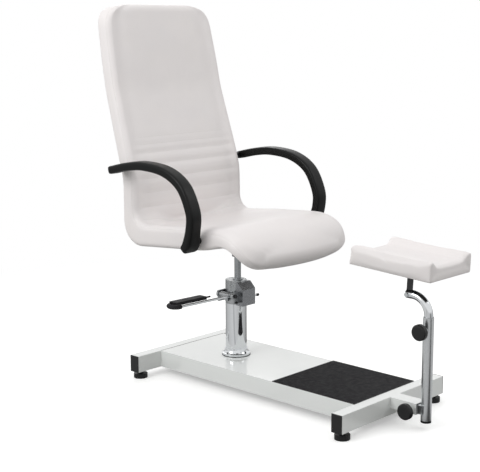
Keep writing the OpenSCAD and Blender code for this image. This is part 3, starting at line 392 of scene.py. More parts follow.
def white_leatherette():
    # Coated PVC upholstery: off-white, satin, pebble print of about 1.5 mm, with soft pulls from the stretching.
    material, tree, surface, coords = start_finish("white_leatherette", "#EDE9E8", 0.44, specular_ior_level=0.42)
    mottle(tree, coords, surface, 110, "#EAE6E6", "#F0EBE9")
    vary_gloss(tree, coords, surface, 35, 0.38, 0.52)
    pulls = noise_map(tree, coords, 26, 4.0, Distortion=0.6)
    pebbles = cell_map(tree, coords, 1.5, feature="SMOOTH_F1")
    relief(tree, surface, (pulls, 0.9, 0.22), (pebbles, 0.14, 0.35))
    return material


def beech_ply(name, colour, low, high):
    # Hot-pressed beech veneers, bare or stained dark, with fine grain along the boards.
    material, tree, surface, coords = start_finish(name, colour, 0.55)
    grain = stretched(tree, coords, (0.12, 1.0, 1.0))
    mottle(tree, grain, surface, 3, low, high)
    relief(tree, surface, (noise_map(tree, grain, 1.1, 4.0), 0.08, 0.5))
    return material


def bonded_thread():
    # Bonded polyester thread, a shade warmer than the cover, with its twist showing.
    material, tree, surface, coords = start_finish("bonded_thread", "#DCD8D4", 0.6)
    turns = {"Vector": coords, "Scale": 1 / (1.2 * mm), "Distortion": 1.0}
    twist = add(tree, "ShaderNodeTexWave", turns).outputs["Fac"]
    tree.links.new(blend_colours(tree, twist, "#D2CECA", "#E3DFDB"), surface.inputs["Base Color"])
    relief(tree, surface, (twist, 0.08, 0.6))
    return material


FINISHES = {
    "powder_coat": gloss_powder_coat(),
    "black_plastic": moulded_nylon(),
    "black_rubber": tread_rubber(),
    "chrome": chrome_plate(),
    "satin_steel": drawn_satin_steel(),
    "cast_grey": plated_casting("plated_casting", "#A4A7A9", "#8D9092", "#B9BBBC"),
    "zinc_steel": zinc_plate(),
    "black_steel": black_enamel(),
    "black_polyurethane": integral_skin_foam(),
    "white_upholstery": white_leatherette(),
    "plywood": beech_ply("moulded_beech_ply", "#C9A577", "#BD9767", "#D3B286"),
}
NODE_FINISHES = {
    # the pump cover's darker casting: partly a duller finish than the head, partly painted shade for its shaded front
    # face
    "pump_cover": plated_casting("dull_casting_painted_shade", "#8C8E90", "#74767A", "#A2A4A6"),
    "pedal_hub": FINISHES["cast_grey"],
    "pump_gland": FINISHES["cast_grey"],
    # the ram rod's darker base colour is painted shade for the dark surroundings it mirrors
    "ram_rod": shaded_ground_rod(),
    "footrest_board": beech_ply("stained_ply", "#2B2826", "#252220", "#35312E"),
}
thread_finish = bonded_thread()


def finish_cad_nodes():
    slots = {part["node"]: part["material_slot"] for part in frame["record"]["subparts"]}
    for name, obj in frame["nodes"].items():
        obj.data.materials.clear()
        obj.data.materials.append(NODE_FINISHES.get(name, FINISHES[slots[name]]))


# Mesh helpers

MERGE = 0.00002


def shade_smooth(mesh):
    mesh.polygons.foreach_set("use_smooth", [True] * len(mesh.polygons))


def new_piece(name, vertices, faces, finish, smooth=True):
    mesh = bpy.data.meshes.new(name)
    mesh.from_pydata([tuple(v) for v in vertices], [], faces)
    mesh.validate()
    piece = bpy.data.objects.new(name, mesh)
    bpy.context.scene.collection.objects.link(piece)
    mesh.materials.append(finish)
    if smooth:
        shade_smooth(mesh)
    return piece


def tidy(piece):
    """Merges doubles and turns all faces outwards."""
    b = bmesh.new()
    b.from_mesh(piece.data)
    bmesh.ops.remove_doubles(b, verts=b.verts, dist=MERGE)
    bmesh.ops.dissolve_degenerate(b, edges=b.edges, dist=MERGE)
    bmesh.ops.recalc_face_normals(b, faces=b.faces)
    b.to_mesh(piece.data)
    b.free()
    piece.data.update()


def bake(piece):
    """Applies what modifies a piece, as a plain mesh."""
    evaluated = piece.evaluated_get(bpy.context.evaluated_depsgraph_get())
    mesh = bpy.data.meshes.new_from_object(evaluated)
    piece.modifiers.clear()
    piece.data = mesh


STAPLED_EDGE = 0.006


def settle_cover(piece, voxel, softening, pressure, most, frames=20):
    """Remeshes a cover evenly and lets it settle as cloth, pressed out by its filling and held along its lower edge.

    No point moves by more than the given length.
    """
    even = piece.modifiers.new("even", "REMESH")
    even.mode, even.voxel_size = "VOXEL", voxel
    soft = piece.modifiers.new("soft", "SMOOTH")
    soft.factor, soft.iterations = 0.5, softening
    bake(piece)
    before = np.array([v.co for v in piece.data.vertices])
    base = float(before[:, 2].min())
    held = piece.vertex_groups.new(name="stapled_edge")
    held.add([int(i) for i in np.flatnonzero(before[:, 2] < base + STAPLED_EDGE)], 1.0, "REPLACE")
    cloth = piece.modifiers.new("cover", "CLOTH")
    cover = cloth.settings
    cover.quality, cover.mass = 5, 0.3
    cover.tension_stiffness = cover.compression_stiffness = 15
    cover.shear_stiffness, cover.bending_stiffness = 5, 0.5
    cover.use_pressure, cover.uniform_pressure_force = True, pressure
    cover.vertex_group_mass = held.name
    cover.effector_weights.gravity = 0
    cloth.collision_settings.use_collision = False
    cloth.point_cache.frame_start, cloth.point_cache.frame_end = 1, frames
    for frame in range(1, frames + 1):
        bpy.context.scene.frame_set(frame)
        bpy.context.view_layer.update()
    bake(piece)
    bpy.context.scene.frame_set(1)
    piece.vertex_groups.clear()
    after = np.array([v.co for v in piece.data.vertices])
    moved = after - before
    length = np.linalg.norm(moved, axis=1, keepdims=True)
    after = before + moved * np.minimum(1, most / np.maximum(length, 1e-9))
    piece.data.vertices.foreach_set("co", after.ravel())
    calm = piece.modifiers.new("calm", "SMOOTH")
    calm.factor, calm.iterations = 0.5, 2
    finer = piece.modifiers.new("finer", "SUBSURF")
    finer.levels = finer.render_levels = 1
    bake(piece)
    shade_smooth(piece.data)


def node_group(name, inputs):
    """A geometry node tree that takes and gives geometry, with the given (label, kind, value) inputs."""
    tree = bpy.data.node_groups.new(name, "GeometryNodeTree")
    for way in ("INPUT", "OUTPUT"):
        tree.interface.new_socket("Geometry", in_out=way, socket_type="NodeSocketGeometry")
    for label, kind, value in inputs:
        tree.interface.new_socket(label, in_out="INPUT", socket_type="NodeSocket" + kind).default_value = value
    return tree


def give_geometry(tree, geometry, finish):
    """Realizes the instances, paints them and puts them out of the tree."""
    real = add(tree, "GeometryNodeRealizeInstances", {"Geometry": geometry})
    painted = add(tree, "GeometryNodeSetMaterial", {"Geometry": real.outputs["Geometry"], "Material": finish})
    add(tree, "NodeGroupOutput", {"Geometry": painted.outputs["Geometry"]})


def lofted(rings):
    """Faces between rings of equal length, one after another."""
    m = len(rings[0])
    vertices = [p for ring in rings for p in ring]
    faces = [
        (i * m + j, i * m + (j + 1) % m, (i + 1) * m + (j + 1) % m, (i + 1) * m + j)
        for i in range(len(rings) - 1)
        for j in range(m)
    ]
    return vertices, faces


def smoothstep(x, low, high):
    t = np.clip((np.asarray(x, float) - low) / (high - low), 0, 1)
    return t * t * (3 - 2 * t)


def bell(x, centre, width):
    return np.exp(-(((x - centre) / width) ** 2))


def wrinkles(points, size, seed):
    """Smooth noise between about -1 and 1 at each point, with features of the given size."""
    shift = Vector((seed * 3.7, seed * 1.3, seed * 2.9))
    return np.array([noise.noise(Vector(p) / size + shift) for p in points])


# Upholstered shell

RUN_START = (0.4280, 0.4987)  # distance from the front, and height
RUN_HEADING = math.radians(60)
RUN = [  # length and turn of each stretch along the middle of the shell, from the rolled front to the top
    (0.118 * math.radians(64.5), -64.5),
    (0.371, 0),
    (0.052 * math.radians(94.5), 94.5),
    (0.110, 0),
    (0.250 * math.radians(17), -17),
    (0.248, 0),
    (0.600 * math.radians(5.5), 5.5),
    (0.249, 0),
]
RUN_LENGTH = sum(length for length, turn in RUN)
CREASE_START = RUN[0][0] + RUN[1][0]
CREASE_END = CREASE_START + RUN[2][0]
SEAT_HALF = 0.037
BACK_HALF = 0.030
SHELL_HALF_WIDTH = 0.276
# sewn channels of the lower back, by their distance from the crease
CHANNELS = [CREASE_END + rise for rise in (0.040, 0.093, 0.139, 0.183, 0.226, 0.256, 0.283)]
CHANNEL_DEPTHS = (0.0022, 0.0024, 0.0030, 0.0032, 0.0026, 0.0010, 0.0007)
CHANNEL_PITCH = 0.042
FRONT_EDGE_R = 0.021
NOSE_EDGE_R = 0.034
REAR_EDGE_R = 0.016


def run_at(s):
    """Point (y from the front, z) and heading at distance s along the shell's middle line."""
    y, z = RUN_START
    heading = RUN_HEADING
    left = min(max(s, 0.0), RUN_LENGTH)
    for length, turn in RUN:
        step = min(left, length)
        bend = math.radians(turn) / length
        after = heading + bend * step
        if turn:
            y += (math.sin(after) - math.sin(heading)) / bend
            z -= (math.cos(after) - math.cos(heading)) / bend
        else:
            y += math.cos(heading) * step
            z += math.sin(heading) * step
        heading = after
        left -= step
        if left <= 0:
            break
    return y, z, heading


def half_thickness(s):
    return SEAT_HALF + (BACK_HALF - SEAT_HALF) * float(smoothstep(s, CREASE_START, CREASE_END))


TONGUE_R = 0.100
TONGUE_POWER = 2.1
PLAN_R = 0.065
NOSE_BOW = 0.031
NOSE_THINNING = 0.80
SIDE_CREASE_R = 0.055
MIDDLE_CREASE_R = 0.006
CROWN_START = 1.235
CROWN_TOP = 1.3315


def tongue_half_width(s):
    """Half width at distance s along the run: the rolled front ends in a tongue with rounded corners."""
    into = np.clip((TONGUE_R - SEAT_HALF - s) / TONGUE_R, 0, 1)
    return SHELL_HALF_WIDTH - TONGUE_R + TONGUE_R * (1 - into**TONGUE_POWER) ** (1 / TONGUE_POWER)


def plan_half_width(y):
    """Half width at distance y from the front: the seat's front corners are softened, seen from above."""
    front = RUN_START[0] - SEAT_HALF
    into = np.clip(front + PLAN_R - y, 0, PLAN_R)
    return SHELL_HALF_WIDTH - PLAN_R + np.sqrt(PLAN_R**2 - into * into)


def elevation_half_width(z):
    """Half width at height z: it tapers above the elbows, and the top is a soft crown."""
    heights = [0.0, 0.790, 0.850, 1.0, 1.10, 1.20, 1.34]
    taper = np.interp(z, heights, [0.276, 0.276, 0.274, 0.269, 0.267, 0.262, 0.252])
    top = np.clip((z - CROWN_START) / (CROWN_TOP - CROWN_START), 0, 0.9999)
    return taper * (1 - top**3.2) ** 0.2


FACE_POINTS = 61
REAR_POINTS = 41
EDGE_ANGLES = (9, 18, 27, 36, 45, 52, 57, 60, 63, 68, 79)
SEAM_POINT = EDGE_ANGLES.index(60)


def shell_ring(half, rf):
    """Section points (x at full width, thickness coordinate) round the shell, from the front face's left edge."""
    w, rr = SHELL_HALF_WIDTH, REAR_EDGE_R
    front = [(x, half) for x in np.linspace(-(w - rf), w - rf, FACE_POINTS)]
    edge = [(w - rf + rf * math.sin(a), half - rf + rf * math.cos(a)) for a in np.radians(EDGE_ANGLES)]
    wall = [(w, t) for t in np.linspace(half - rf, -(half - rr), 5)]
    rear_edge = [(w - rr + rr * math.cos(a), -(half - rr) - rr * math.sin(a)) for a in np.radians([15, 30, 45, 60, 75])]
    rear = [(x, -half) for x in np.linspace(w - rr, -(w - rr), REAR_POINTS)]
    left = [(-x, t) for x, t in reversed(edge + wall + rear_edge)]
    return np.array(front + edge + wall + rear_edge + rear + left)


def seat_crown(y, across):
    """How far the front face stands proud of the flat shell: a crowned front, and a dished pan towards the crease."""
    places = [0.40, 0.47, 0.56, 0.64, 0.74, 0.85, 0.93]
    centre = np.interp(y, places, [0.004, 0.008, 0.008, 0.004, -0.004, -0.011, -0.009])
    edges = np.interp(y, [0.40, 0.50, 0.60, 0.75], [0.0, -0.001, 0.001, 0.003])
    return centre * (1 - across**2) + edges * smoothstep(np.abs(across), 0.72, 0.94)


def back_crown(s, across):
    """The same on the back: a puffed middle, a low ridge inside each edge and a web that rises to the crease."""
    up = s - CREASE_END
    puff = np.interp(up, [-0.02, 0.03, 0.15, 0.29, 0.43, 0.63, 0.74], [-0.006, 0.0, 0.004, 0.004, 0.002, 0.003, 0.001])
    ridge = 0.0016 * bell(np.abs(across), 0.925, 0.05) - 0.0026 * bell(np.abs(across), 0.80, 0.09)
    web = np.interp(up, [0.0, 0.06, 0.13], [0.003, 0.002, 0.0])
    return puff * (1 - across**2) + ridge * smoothstep(up, -0.01, 0.09) + web * smoothstep(np.abs(across), 0.72, 0.94)


def crease_push(radius):
    """The push (y, z) at a distance s that gives the front face a crease of the given radius."""
    ys, zs, hs = run_at(CREASE_START)
    ye, ze, he = run_at(CREASE_END)
    start = np.array([ys - math.sin(hs) * SEAT_HALF, zs + math.cos(hs) * SEAT_HALF])
    end = np.array([ye - math.sin(he) * BACK_HALF, ze + math.cos(he) * BACK_HALF])
    ahead, back = np.array([math.cos(hs), math.sin(hs)]), np.array([-math.cos(he), -math.sin(he)])
    to_corner = np.linalg.solve(np.array([ahead, -back]).T, end - start)
    corner = start + ahead * to_corner[0]
    reach = radius * math.tan((he - hs) / 2)
    before, after = np.maximum(0, reach - to_corner)
    first, last = CREASE_START - before, CREASE_END + after
    centre = corner - ahead * reach + np.array([-math.sin(hs), math.cos(hs)]) * radius
    arc = [centre + radius * np.array([math.sin(a), -math.cos(a)]) for a in np.linspace(hs, he, 33)]
    path = np.array([start - ahead * before] + arc + [end - back * after])
    run = np.concatenate([[0], np.cumsum(np.hypot(*np.diff(path, axis=0).T))])

    def push(s):
        if not first < s < last:
            return 0.0, 0.0
        y, z, heading = run_at(s)
        half = half_thickness(s)
        at = run[-1] * (s - first) / (last - first)
        return (np.interp(at, run, path[:, 0]) - (y - math.sin(heading) * half),
                np.interp(at, run, path[:, 1]) - (z + math.cos(heading) * half))

    return push


def shape_width(points, s):
    """Draws the shell's full-width section in to its outline, seen from the front, from above and along the run."""
    width = np.minimum(plan_half_width(points[:, 1]), elevation_half_width(points[:, 2]))
    width = np.minimum(width, tongue_half_width(s))
    points[:, 0] *= width / SHELL_HALF_WIDTH
    return points


def channel_relief(s, across):
    """Padded ribs between the sewn channels of the lower back."""
    rise = np.zeros_like(s)
    for channel, depth in zip(CHANNELS, CHANNEL_DEPTHS):
        off = np.clip(np.abs(s - channel) / (CHANNEL_PITCH / 2), 0, 1)
        rise = rise - depth * (0.35 * (1 - np.sqrt(off * (2 - off))) + 0.65 * (1 - off * off) ** 3)
    return rise * (1 - smoothstep(np.abs(across), 0.84, 0.93))


def shell_stations():
    """(distance along the run, overrun past its end, share of the full thickness) for each ring."""
    caps = np.radians(np.linspace(90, 8, 9))
    fine_from, fine_to = CREASE_START - 0.03, CREASE_END + 0.294
    coarse, fine = 0.0085, 0.0026
    body = np.concatenate([
        np.arange(0, fine_from, coarse),
        np.arange(fine_from, fine_to, fine),
        np.arange(fine_to, RUN_LENGTH, coarse),
        [RUN_LENGTH],
    ])
    front = [(0.0, -SEAT_HALF * math.sin(a), math.cos(a)) for a in caps]
    top = [(RUN_LENGTH, BACK_HALF * math.sin(a), math.cos(a)) for a in reversed(caps)]
    return front + [(s, 0.0, 1.0) for s in body] + top


def shell_points():
    """Rings of points at full width, with (distance along the run, share across, share of thickness) for each."""
    rings, info = [], []
    fillet, tuck = crease_push(SIDE_CREASE_R), crease_push(MIDDLE_CREASE_R)
    for s, over, share in shell_stations():
        y, z, heading = run_at(s)
        y, z = y + over * math.cos(heading), z + over * math.sin(heading)
        half = half_thickness(s)
        near_nose = 1 - float(smoothstep(s, 0.10, 0.36))
        ring = shell_ring(half, FRONT_EDGE_R + (NOSE_EDGE_R - FRONT_EDGE_R) * near_nose)
        x, t = ring[:, 0], ring[:, 1] / half
        across = x / SHELL_HALF_WIDTH
        to_front = smoothstep(t, -0.5, 1.0)
        s_all = np.full_like(x, s + over)
        on_seat = 1 - smoothstep(s, CREASE_START + 0.02, CREASE_END)
        lift = on_seat * seat_crown(y, across) + (1 - on_seat) * back_crown(s_all, across)
        lift = lift * to_front + channel_relief(s_all, across) * smoothstep(t, 0.4, 1.0)
        rear_puff = 0.004 * (1 - across**2) * smoothstep(-t, 0.6, 1.0) * float(smoothstep(s - CREASE_END, 0.01, 0.18))
        on_nose = 1 - float(smoothstep(s, 0.0, 0.22))
        under = np.where(t < 0, 1 - NOSE_THINNING * on_nose * smoothstep(np.abs(across), 0.5, 1.0), 1.0)
        depth = (t * half * under + lift - rear_puff) * share
        side = 0.0016 * np.clip(1 - t * t, 0, 1) * np.sign(x) * share
        py = y - math.sin(heading) * depth - NOSE_BOW * on_nose * (1 - across**2)
        pz = z + math.cos(heading) * depth
        into_side = to_front * smoothstep(np.abs(across), 0.28, 0.68)
        into_middle = to_front - into_side
        (fillet_y, fillet_z), (tuck_y, tuck_z) = fillet(s), tuck(s)
        py += fillet_y * into_side + tuck_y * into_middle
        pz += fillet_z * into_side + tuck_z * into_middle
        rings.append(np.stack([x + side, py, pz], 1))
        info.append(np.stack([s_all, across, t], 1))
    return np.array(rings), np.array(info)


SEAM_INWARDS = 0.0007
SEAM_SINK = 0.0006


def make_shell():
    """One upholstered cover over the seat and the back, with its edge seams and channels as lines for the stitches."""
    rings, info = shell_points()
    flat = rings.reshape(-1, 3)
    s, across, t = info.reshape(-1, 3).T
    flat = shape_width(flat, s)
    on_front = smoothstep(t, 0.2, 1.0)
    soft = 0.0007 * wrinkles(flat, 0.055, 1) + 0.0009 * wrinkles(flat, 0.14, 2)
    pinch = bell(s, CREASE_START + 0.043, 0.05) * 0.0012 * wrinkles(flat * np.array([1.0, 3.0, 3.0]), 0.03, 3)
    seam = -0.0020 * bell(s, (CREASE_START + CREASE_END) / 2, 0.0045) * (1 - smoothstep(np.abs(across), 0.86, 0.97))
    push = (soft + pinch + seam) * on_front
    headings = np.array([run_at(v)[2] for v in np.clip(s, 0, RUN_LENGTH)])
    flat[:, 1] += -np.sin(headings) * push
    flat[:, 2] += np.cos(headings) * push
    # the sewn seam along each front edge sinks a little
    ring_size = rings.shape[1]
    seams_at = (FACE_POINTS + SEAM_POINT, ring_size - 1 - SEAM_POINT)
    for column in seams_at:
        index = np.arange(len(rings)) * ring_size + column
        flat[index, 0] -= np.sign(flat[index, 0]) * SEAM_INWARDS
        flat[index, 1] -= -np.sin(headings[index]) * SEAM_SINK
        flat[index, 2] -= np.cos(headings[index]) * SEAM_SINK
    flat[:, 1] += front_y
    vertices, faces = lofted(flat.reshape(rings.shape))
    shell = new_piece("upholstered_shell", vertices, faces, FINISHES["white_upholstery"])
    tidy(shell)
    lines = [flat[np.arange(len(rings)) * ring_size + column] for column in seams_at]
    short = 5  # points of the front face that a channel's stitches leave out at each end
    for channel in CHANNELS:
        row = int(np.argmin([abs(along + over - channel) for along, over, share in shell_stations()]))
        lines.append(flat[row * ring_size + short : row * ring_size + FACE_POINTS - short])
    return shell, lines


# Leg rest cushion

REST_TILT = math.radians(3.2)
REST_HALF_WIDTH = 0.112
REST_LENGTH = 0.302
REST_BASE = 0.0812  # height of the pad's underside over the tilt bolt
REST_MIDDLE = 0.005
REST_PROFILE = [(0, 0.0395), (0.060, 0.0400), (0.072, 0.0425), (0.084, 0.0520), (0.094, 0.0610), (0.101, 0.0645),
                (0.106, 0.0650), (0.110, 0.0640), (0.112, 0.0615)]  # distance from the middle, and thickness


def make_leg_cushion():
    """A boxed pad with a ridge along each side, made square and then tilted with its bracket."""
    low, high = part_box("tilt_bolt")
    pivot = Vector((0, (low.y + high.y) / 2, (low.z + high.z) / 2))
    across = np.concatenate([np.linspace(-1, -0.84, 9), np.linspace(-0.8, 0.8, 33), np.linspace(0.84, 1, 9)])
    across *= REST_HALF_WIDTH
    along = np.concatenate([np.linspace(-0.5, -0.47, 4), np.linspace(-0.45, 0.45, 49), np.linspace(0.47, 0.5, 4)])
    along *= REST_LENGTH
    rise = np.linspace(0, 1, 12)
    top = np.interp(np.abs(across), *np.transpose(REST_PROFILE))

    def place(i, j, k):
        x, y, z = across[i], along[j], top[i] * rise[k]
        u, v, w = x / REST_HALF_WIDTH, 2 * y / REST_LENGTH, 2 * rise[k] - 1
        swell = 0.0022 * (1 - u * u) * (1 - w * w) * np.sign(v) * (abs(v) > 0.999)
        side = 0.0022 * (1 - v * v) * (1 - w * w) * np.sign(u) * (abs(u) > 0.999)
        pull = -0.0026 * (1 - v * v) * abs(u) ** 3 * np.sign(x)
        ends = -0.0020 * (1 - u * u) * abs(v) ** 3 * np.sign(y)
        dip = -0.0015 * (1 - v * v) * (1 - u * u) * (rise[k] == 1)
        crest = -0.0016 * abs(v) ** 6 * smoothstep(abs(u), 0.7, 0.95) * rise[k]
        return (x + side + pull, y + swell + ends + REST_MIDDLE, z + dip + crest)

    index, vertices, faces = {}, [], []

    def corner(i, j, k):
        if (i, j, k) not in index:
            index[(i, j, k)] = len(vertices)
            vertices.append(place(i, j, k))
        return index[(i, j, k)]

    ni, nj, nk = len(across) - 1, len(along) - 1, len(rise) - 1
    for i in range(ni):
        for j in range(nj):
            for k in (0, nk):
                faces.append((corner(i, j, k), corner(i + 1, j, k), corner(i + 1, j + 1, k), corner(i, j + 1, k)))
        for k in range(nk):
            for j in (0, nj):
                faces.append((corner(i, j, k), corner(i + 1, j, k), corner(i + 1, j, k + 1), corner(i, j, k + 1)))
    for j in range(nj):
        for k in range(nk):
            for i in (0, ni):
                faces.append((corner(i, j, k), corner(i, j + 1, k), corner(i, j + 1, k + 1), corner(i, j, k + 1)))
    cushion = new_piece("leg_rest_cushion", vertices, faces, FINISHES["white_upholstery"])
    tidy(cushion)
    settle_cover(cushion, voxel=0.004, softening=5, pressure=4.0, most=0.004)
    co = np.array([v.co for v in cushion.data.vertices])
    push = 0.0006 * wrinkles(co, 0.05, 5) + 0.0004 * wrinkles(co, 0.018, 6)
    co[:, 2] += push * smoothstep(co[:, 2], 0.01, 0.03)
    cushion.data.vertices.foreach_set("co", co.ravel())
    tilt = Matrix.Rotation(REST_TILT, 4, "X")
    cushion.data.transform(Matrix.Translation(pivot) @ tilt @ Matrix.Translation((0, 0, REST_BASE)))
    cushion.data.update()
    return cushion


# Armrests

# middle line from the foot up and to the rear: distance from the front, and height
ARM_PATH = [(0.622, 0.522), (0.605, 0.546), (0.588, 0.602), (0.590, 0.657), (0.632, 0.733), (0.710, 0.776),
            (0.815, 0.788), (0.901, 0.779), (0.976, 0.763), (0.988, 0.760)]
ARM_HALF_WIDTH = 0.0255
ARM_HALF_THICKNESS = 0.0152
ARM_FOOT_FLARE = 0.55
ARM_FLARE_RUN = (0.012, 0.085)
ARM_END_ROUND = 0.010
ARM_END_DOME = 0.003
PARTING_LINE = 0.0005


def spline(points, steps):
    """Points on a smooth curve through the given ones."""
    p = np.array(points, float)
    line = []
    for i in range(len(p) - 1):
        a, b, c, d = p[max(i - 1, 0)], p[i], p[i + 1], p[min(i + 2, len(p) - 1)]
        for k in range(steps):
            t = k / steps
            bend = (2 * a - 5 * b + 4 * c - d) * t * t + (3 * b - a - 3 * c + d) * t**3
            line.append(0.5 * (2 * b + (c - a) * t + bend))
    return np.array(line + [p[-1]])


def arm_section():
    """(x outwards, thickness) round an armrest: a soft top, a firmer underside and a parting line on each side."""
    points = []
    for a in np.radians(np.arange(0, 360, 7.5)):
        c, s = math.cos(a), math.sin(a)
        power = 0.42 if s > 0 else 0.34
        x = ARM_HALF_WIDTH * np.sign(c) * abs(c) ** 0.42
        points.append((x, ARM_HALF_THICKNESS * np.sign(s) * abs(s) ** power))
    points = np.array(points)
    points[0, 0] += PARTING_LINE
    points[len(points) // 2, 0] -= PARTING_LINE
    return points


def make_armrest(name, side):
    """An armrest swept along its path, flared inwards at its foot and domed at both ends."""
    low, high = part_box("armrest_right")
    centre_x = (low.x + high.x) / 2
    path = spline(ARM_PATH, 9)
    heading = np.arctan2(np.gradient(path[:, 1]), np.gradient(path[:, 0]))
    section = arm_section()
    run = np.concatenate([[0], np.cumsum(np.hypot(*np.diff(path, axis=0).T))])
    rings = []
    for i, (y, z) in enumerate(path):
        from_end = min(run[i], run[-1] - run[i])
        close = math.sqrt(max(0.0, 1 - (1 - min(from_end / ARM_END_ROUND, 1)) ** 2)) * 0.35 + 0.65
        if i in (0, len(path) - 1):
            close = 0.62
        thick = close * (1 - 0.06 * float(smoothstep(run[i], run[-1] * 0.72, run[-1])))
        up = np.array([-math.sin(heading[i]), math.cos(heading[i])])
        flare = 1 + ARM_FOOT_FLARE * float(smoothstep(-run[i], -ARM_FLARE_RUN[1], -ARM_FLARE_RUN[0]))
        ring = []
        for px, pt in section:
            x = side * (centre_x + px * close * (flare if px < 0 else 1))
            ring.append((x, front_y + y + up[0] * pt * thick, z + up[1] * pt * thick))
        rings.append(ring)
    vertices, faces = lofted(rings)
    m = len(section)
    for ring_start, end_heading, flip in ((0, heading[0], 1), ((len(rings) - 1) * m, heading[-1], -1)):
        centre = np.mean(vertices[ring_start : ring_start + m], axis=0)
        outwards = np.array([0, -math.cos(end_heading), -math.sin(end_heading)]) * flip
        vertices.append(tuple(centre + outwards * ARM_END_DOME))
        hub = len(vertices) - 1
        faces += [(ring_start + j, ring_start + (j + 1) % m, hub)[::flip] for j in range(m)]
    arm = new_piece(name, vertices, faces, FINISHES["black_polyurethane"])
    tidy(arm)
    return arm


# Tread mat

MAT_SLAB = 0.0019
MAT_MARGIN = 0.004
RIB_WIDTH = 0.0026
RIB_PITCH = 0.0050
RIB_SINK = 0.0002


def make_tread_mat():
    """A slab with fine ribs across it."""
    low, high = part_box("tread_mat")
    count = int((high.y - low.y - MAT_MARGIN) / RIB_PITCH)
    tree = node_group("mat_ribs", [
        ("Rib length", "Float", high.x - low.x - MAT_MARGIN),
        ("Rib width", "Float", RIB_WIDTH),
        ("Pitch", "Float", RIB_PITCH),
        ("Ribs", "Int", count),
    ])
    inputs = add(tree, "NodeGroupInput").outputs
    size = add(tree, "ShaderNodeCombineXYZ", {"X": high.x - low.x, "Y": high.y - low.y, "Z": MAT_SLAB})
    slab = add(tree, "GeometryNodeMeshCube", {"Size": size.outputs[0]})
    lifted = {"Geometry": slab.outputs["Mesh"], "Translation": (0, 0, MAT_SLAB / 2)}
    base = add(tree, "GeometryNodeTransform", lifted)
    bar = add(tree, "GeometryNodeMeshCylinder", {"Vertices": 10, "Depth": inputs["Rib length"]})
    half = add(tree, "ShaderNodeMath", {0: inputs["Rib width"], 1: 0.5}, operation="MULTIPLY")
    tree.links.new(half.outputs[0], bar.inputs["Radius"])
    laid = add(tree, "GeometryNodeTransform", {"Geometry": bar.outputs["Mesh"], "Rotation": (0, math.pi / 2, 0)})
    step = add(tree, "ShaderNodeCombineXYZ", {"Y": inputs["Pitch"]})
    row = add(tree, "GeometryNodeMeshLine", {"Count": inputs["Ribs"], "Offset": step.outputs[0]})
    on_row = {"Points": row.outputs["Mesh"], "Instance": laid.outputs["Geometry"]}
    ribs = add(tree, "GeometryNodeInstanceOnPoints", on_row).outputs["Instances"]
    first = -(count - 1) * RIB_PITCH / 2
    on_slab = {"Geometry": ribs, "Translation": (0, first, MAT_SLAB - RIB_SINK)}
    moved = add(tree, "GeometryNodeTransform", on_slab)
    both = add(tree, "GeometryNodeJoinGeometry")
    tree.links.new(base.outputs["Geometry"], both.inputs["Geometry"])
    tree.links.new(moved.outputs["Geometry"], both.inputs["Geometry"])
    give_geometry(tree, both.outputs["Geometry"], FINISHES["black_rubber"])
    mat = new_piece("ribbed_tread_mat", [], [], FINISHES["black_rubber"], smooth=False)
    mat.modifiers.new("ribs", "NODES").node_group = tree
    bake(mat)
    mat.data.transform(Matrix.Translation(((low.x + high.x) / 2, (low.y + high.y) / 2, low.z)))
    return mat


# Painted joint shadow and a screw


def make_joint_shadow_strip():
    """A thin dark strip in the joint between the deck and the rear crossbeam: a painted shadow of the gap, shaped as a
    bead.
    """
    deck_low, deck_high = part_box("deck_plate")
    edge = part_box("rear_crossbeam")[0].y
    half, proud, sunk, inset = 0.0013, 0.0004, -0.0003, 0.002
    section = [(-half, sunk), (-half, proud / 2), (0, proud), (half, proud / 2), (half, sunk)]
    places = np.linspace(deck_low.x + inset, deck_high.x - inset, 25)
    vertices, faces = lofted([[(x, edge + dy, deck_high.z + dz) for dy, dz in section] for x in places])
    faces += [tuple(range(5)), tuple(reversed(range(len(vertices) - 5, len(vertices))))]
    shadow_strip = new_piece("deck_joint_painted_shadow", vertices, faces, FINISHES["black_rubber"], smooth=False)
    tidy(shadow_strip)
    return shadow_strip


def make_ear_screw():
    """A black socket screw on the near face of the pump's ears, under the pedal's pin."""
    x, ear_face, z = -0.0450, front_y + 0.660, 0.2885
    radius, height, bevel, socket_r, socket_floor = 0.0045, 0.0042, 0.0008, 0.0024, 0.0016
    profile = [(radius, 0.0), (radius, height - bevel), (radius - bevel, height)]
    profile += [(socket_r, height), (socket_r, socket_floor)]
    turns = np.radians(np.arange(0, 360, 15))
    rings = [[(x + r * math.cos(a), ear_face - h, z + r * math.sin(a)) for a in turns] for r, h in profile]
    vertices, faces = lofted(rings)
    vertices.append((x, ear_face - socket_floor, z))
    last = len(vertices) - 1 - len(turns)
    faces += [(last + j, last + (j + 1) % len(turns), len(vertices) - 1) for j in range(len(turns))]
    faces.append(tuple(reversed(range(len(turns)))))
    screw = new_piece("ear_screw", vertices, faces, FINISHES["black_steel"], smooth=False)
    tidy(screw)
    return screw


# Stitches

STITCH_PITCH = 0.0045
STITCH_LENGTH = 0.0034
THREAD_RADIUS = 0.00045


def stitch_line(points):
    """Even points, with their directions, along a polyline."""
    p = np.array(points)
    steps = np.hypot(np.hypot(*np.diff(p[:, :2], axis=0).T), np.diff(p[:, 2]))
    run = np.concatenate([[0], np.cumsum(steps)])
    at = np.arange(STITCH_PITCH / 2, run[-1], STITCH_PITCH)
    spots = np.stack([np.interp(at, run, p[:, k]) for k in range(3)], 1)
    further = np.minimum(at + STITCH_PITCH / 4, run[-1])
    ahead = np.stack([np.interp(further, run, p[:, k]) for k in range(3)], 1)
    return spots, ahead - spots


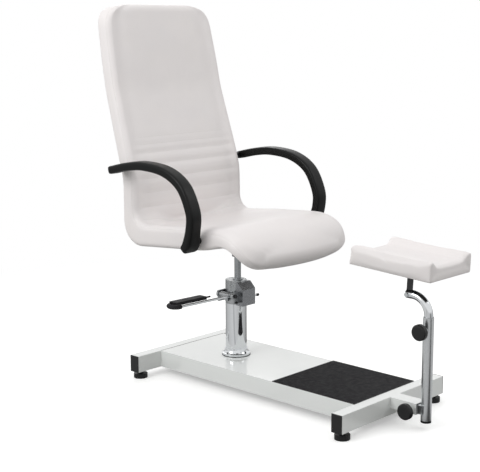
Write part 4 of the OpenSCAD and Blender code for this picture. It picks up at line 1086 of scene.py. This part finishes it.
def make_stitches(name, lines):
    """Short rounded stitches of thread, each laid along its seam."""
    spots, ways = [], []
    for line in lines:
        a, b = stitch_line(line)
        spots.extend(a)
        ways.extend(b)
    mesh = bpy.data.meshes.new(name + "_points")
    mesh.from_pydata([tuple(p) for p in spots], [], [])
    way = mesh.attributes.new("way", "FLOAT_VECTOR", "POINT")
    way.data.foreach_set("vector", np.array(ways, np.float32).ravel())
    piece = bpy.data.objects.new(name, mesh)
    bpy.context.scene.collection.objects.link(piece)
    sizes = [("Stitch length", "Float", STITCH_LENGTH), ("Thread radius", "Float", THREAD_RADIUS)]
    tree = node_group(name + "_rows", sizes)
    inputs = add(tree, "NodeGroupInput").outputs
    thread = add(tree, "GeometryNodeMeshUVSphere", {"Segments": 6, "Rings": 4, "Radius": 1.0})
    half = add(tree, "ShaderNodeMath", {0: inputs["Stitch length"], 1: 0.5}, operation="MULTIPLY")
    radius = inputs["Thread radius"]
    shape = add(tree, "ShaderNodeCombineXYZ", {"X": radius, "Y": radius, "Z": half.outputs[0]})
    way_in = add(tree, "GeometryNodeInputNamedAttribute", {"Name": "way"}, data_type="FLOAT_VECTOR")
    aim = add(tree, "FunctionNodeAlignRotationToVector", {"Vector": way_in.outputs["Attribute"]}, axis="Z")
    laid = add(tree, "GeometryNodeInstanceOnPoints", {
        "Points": inputs["Geometry"],
        "Instance": thread.outputs["Mesh"],
        "Rotation": aim.outputs[0],
        "Scale": shape.outputs[0],
    })
    give_geometry(tree, laid.outputs["Instances"], thread_finish)
    piece.modifiers.new("rows", "NODES").node_group = tree
    bake(piece)
    shade_smooth(piece.data)
    return piece


make_camera()
make_studio()
finish_cad_nodes()

shell, seam_lines = make_shell()
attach(shell, "seat")
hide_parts("seat_pad", "back_pad")

stitches = make_stitches("cover_stitches", seam_lines)
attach(stitches, "seat")

cushion = make_leg_cushion()
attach(cushion, "leg_rest")
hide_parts("footrest_cushion")

for arm_name, node_name, side in (("left_armrest_pad", "armrest_left", -1), ("right_armrest_pad", "armrest_right", 1)):
    arm = make_armrest(arm_name, side)
    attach(arm, "seat")
    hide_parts(node_name)

mat = make_tread_mat()
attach(mat, "base")
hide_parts("tread_mat")

for detail in (make_ear_screw(), make_joint_shadow_strip()):
    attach(detail, "base")

bpy.context.view_layer.update()
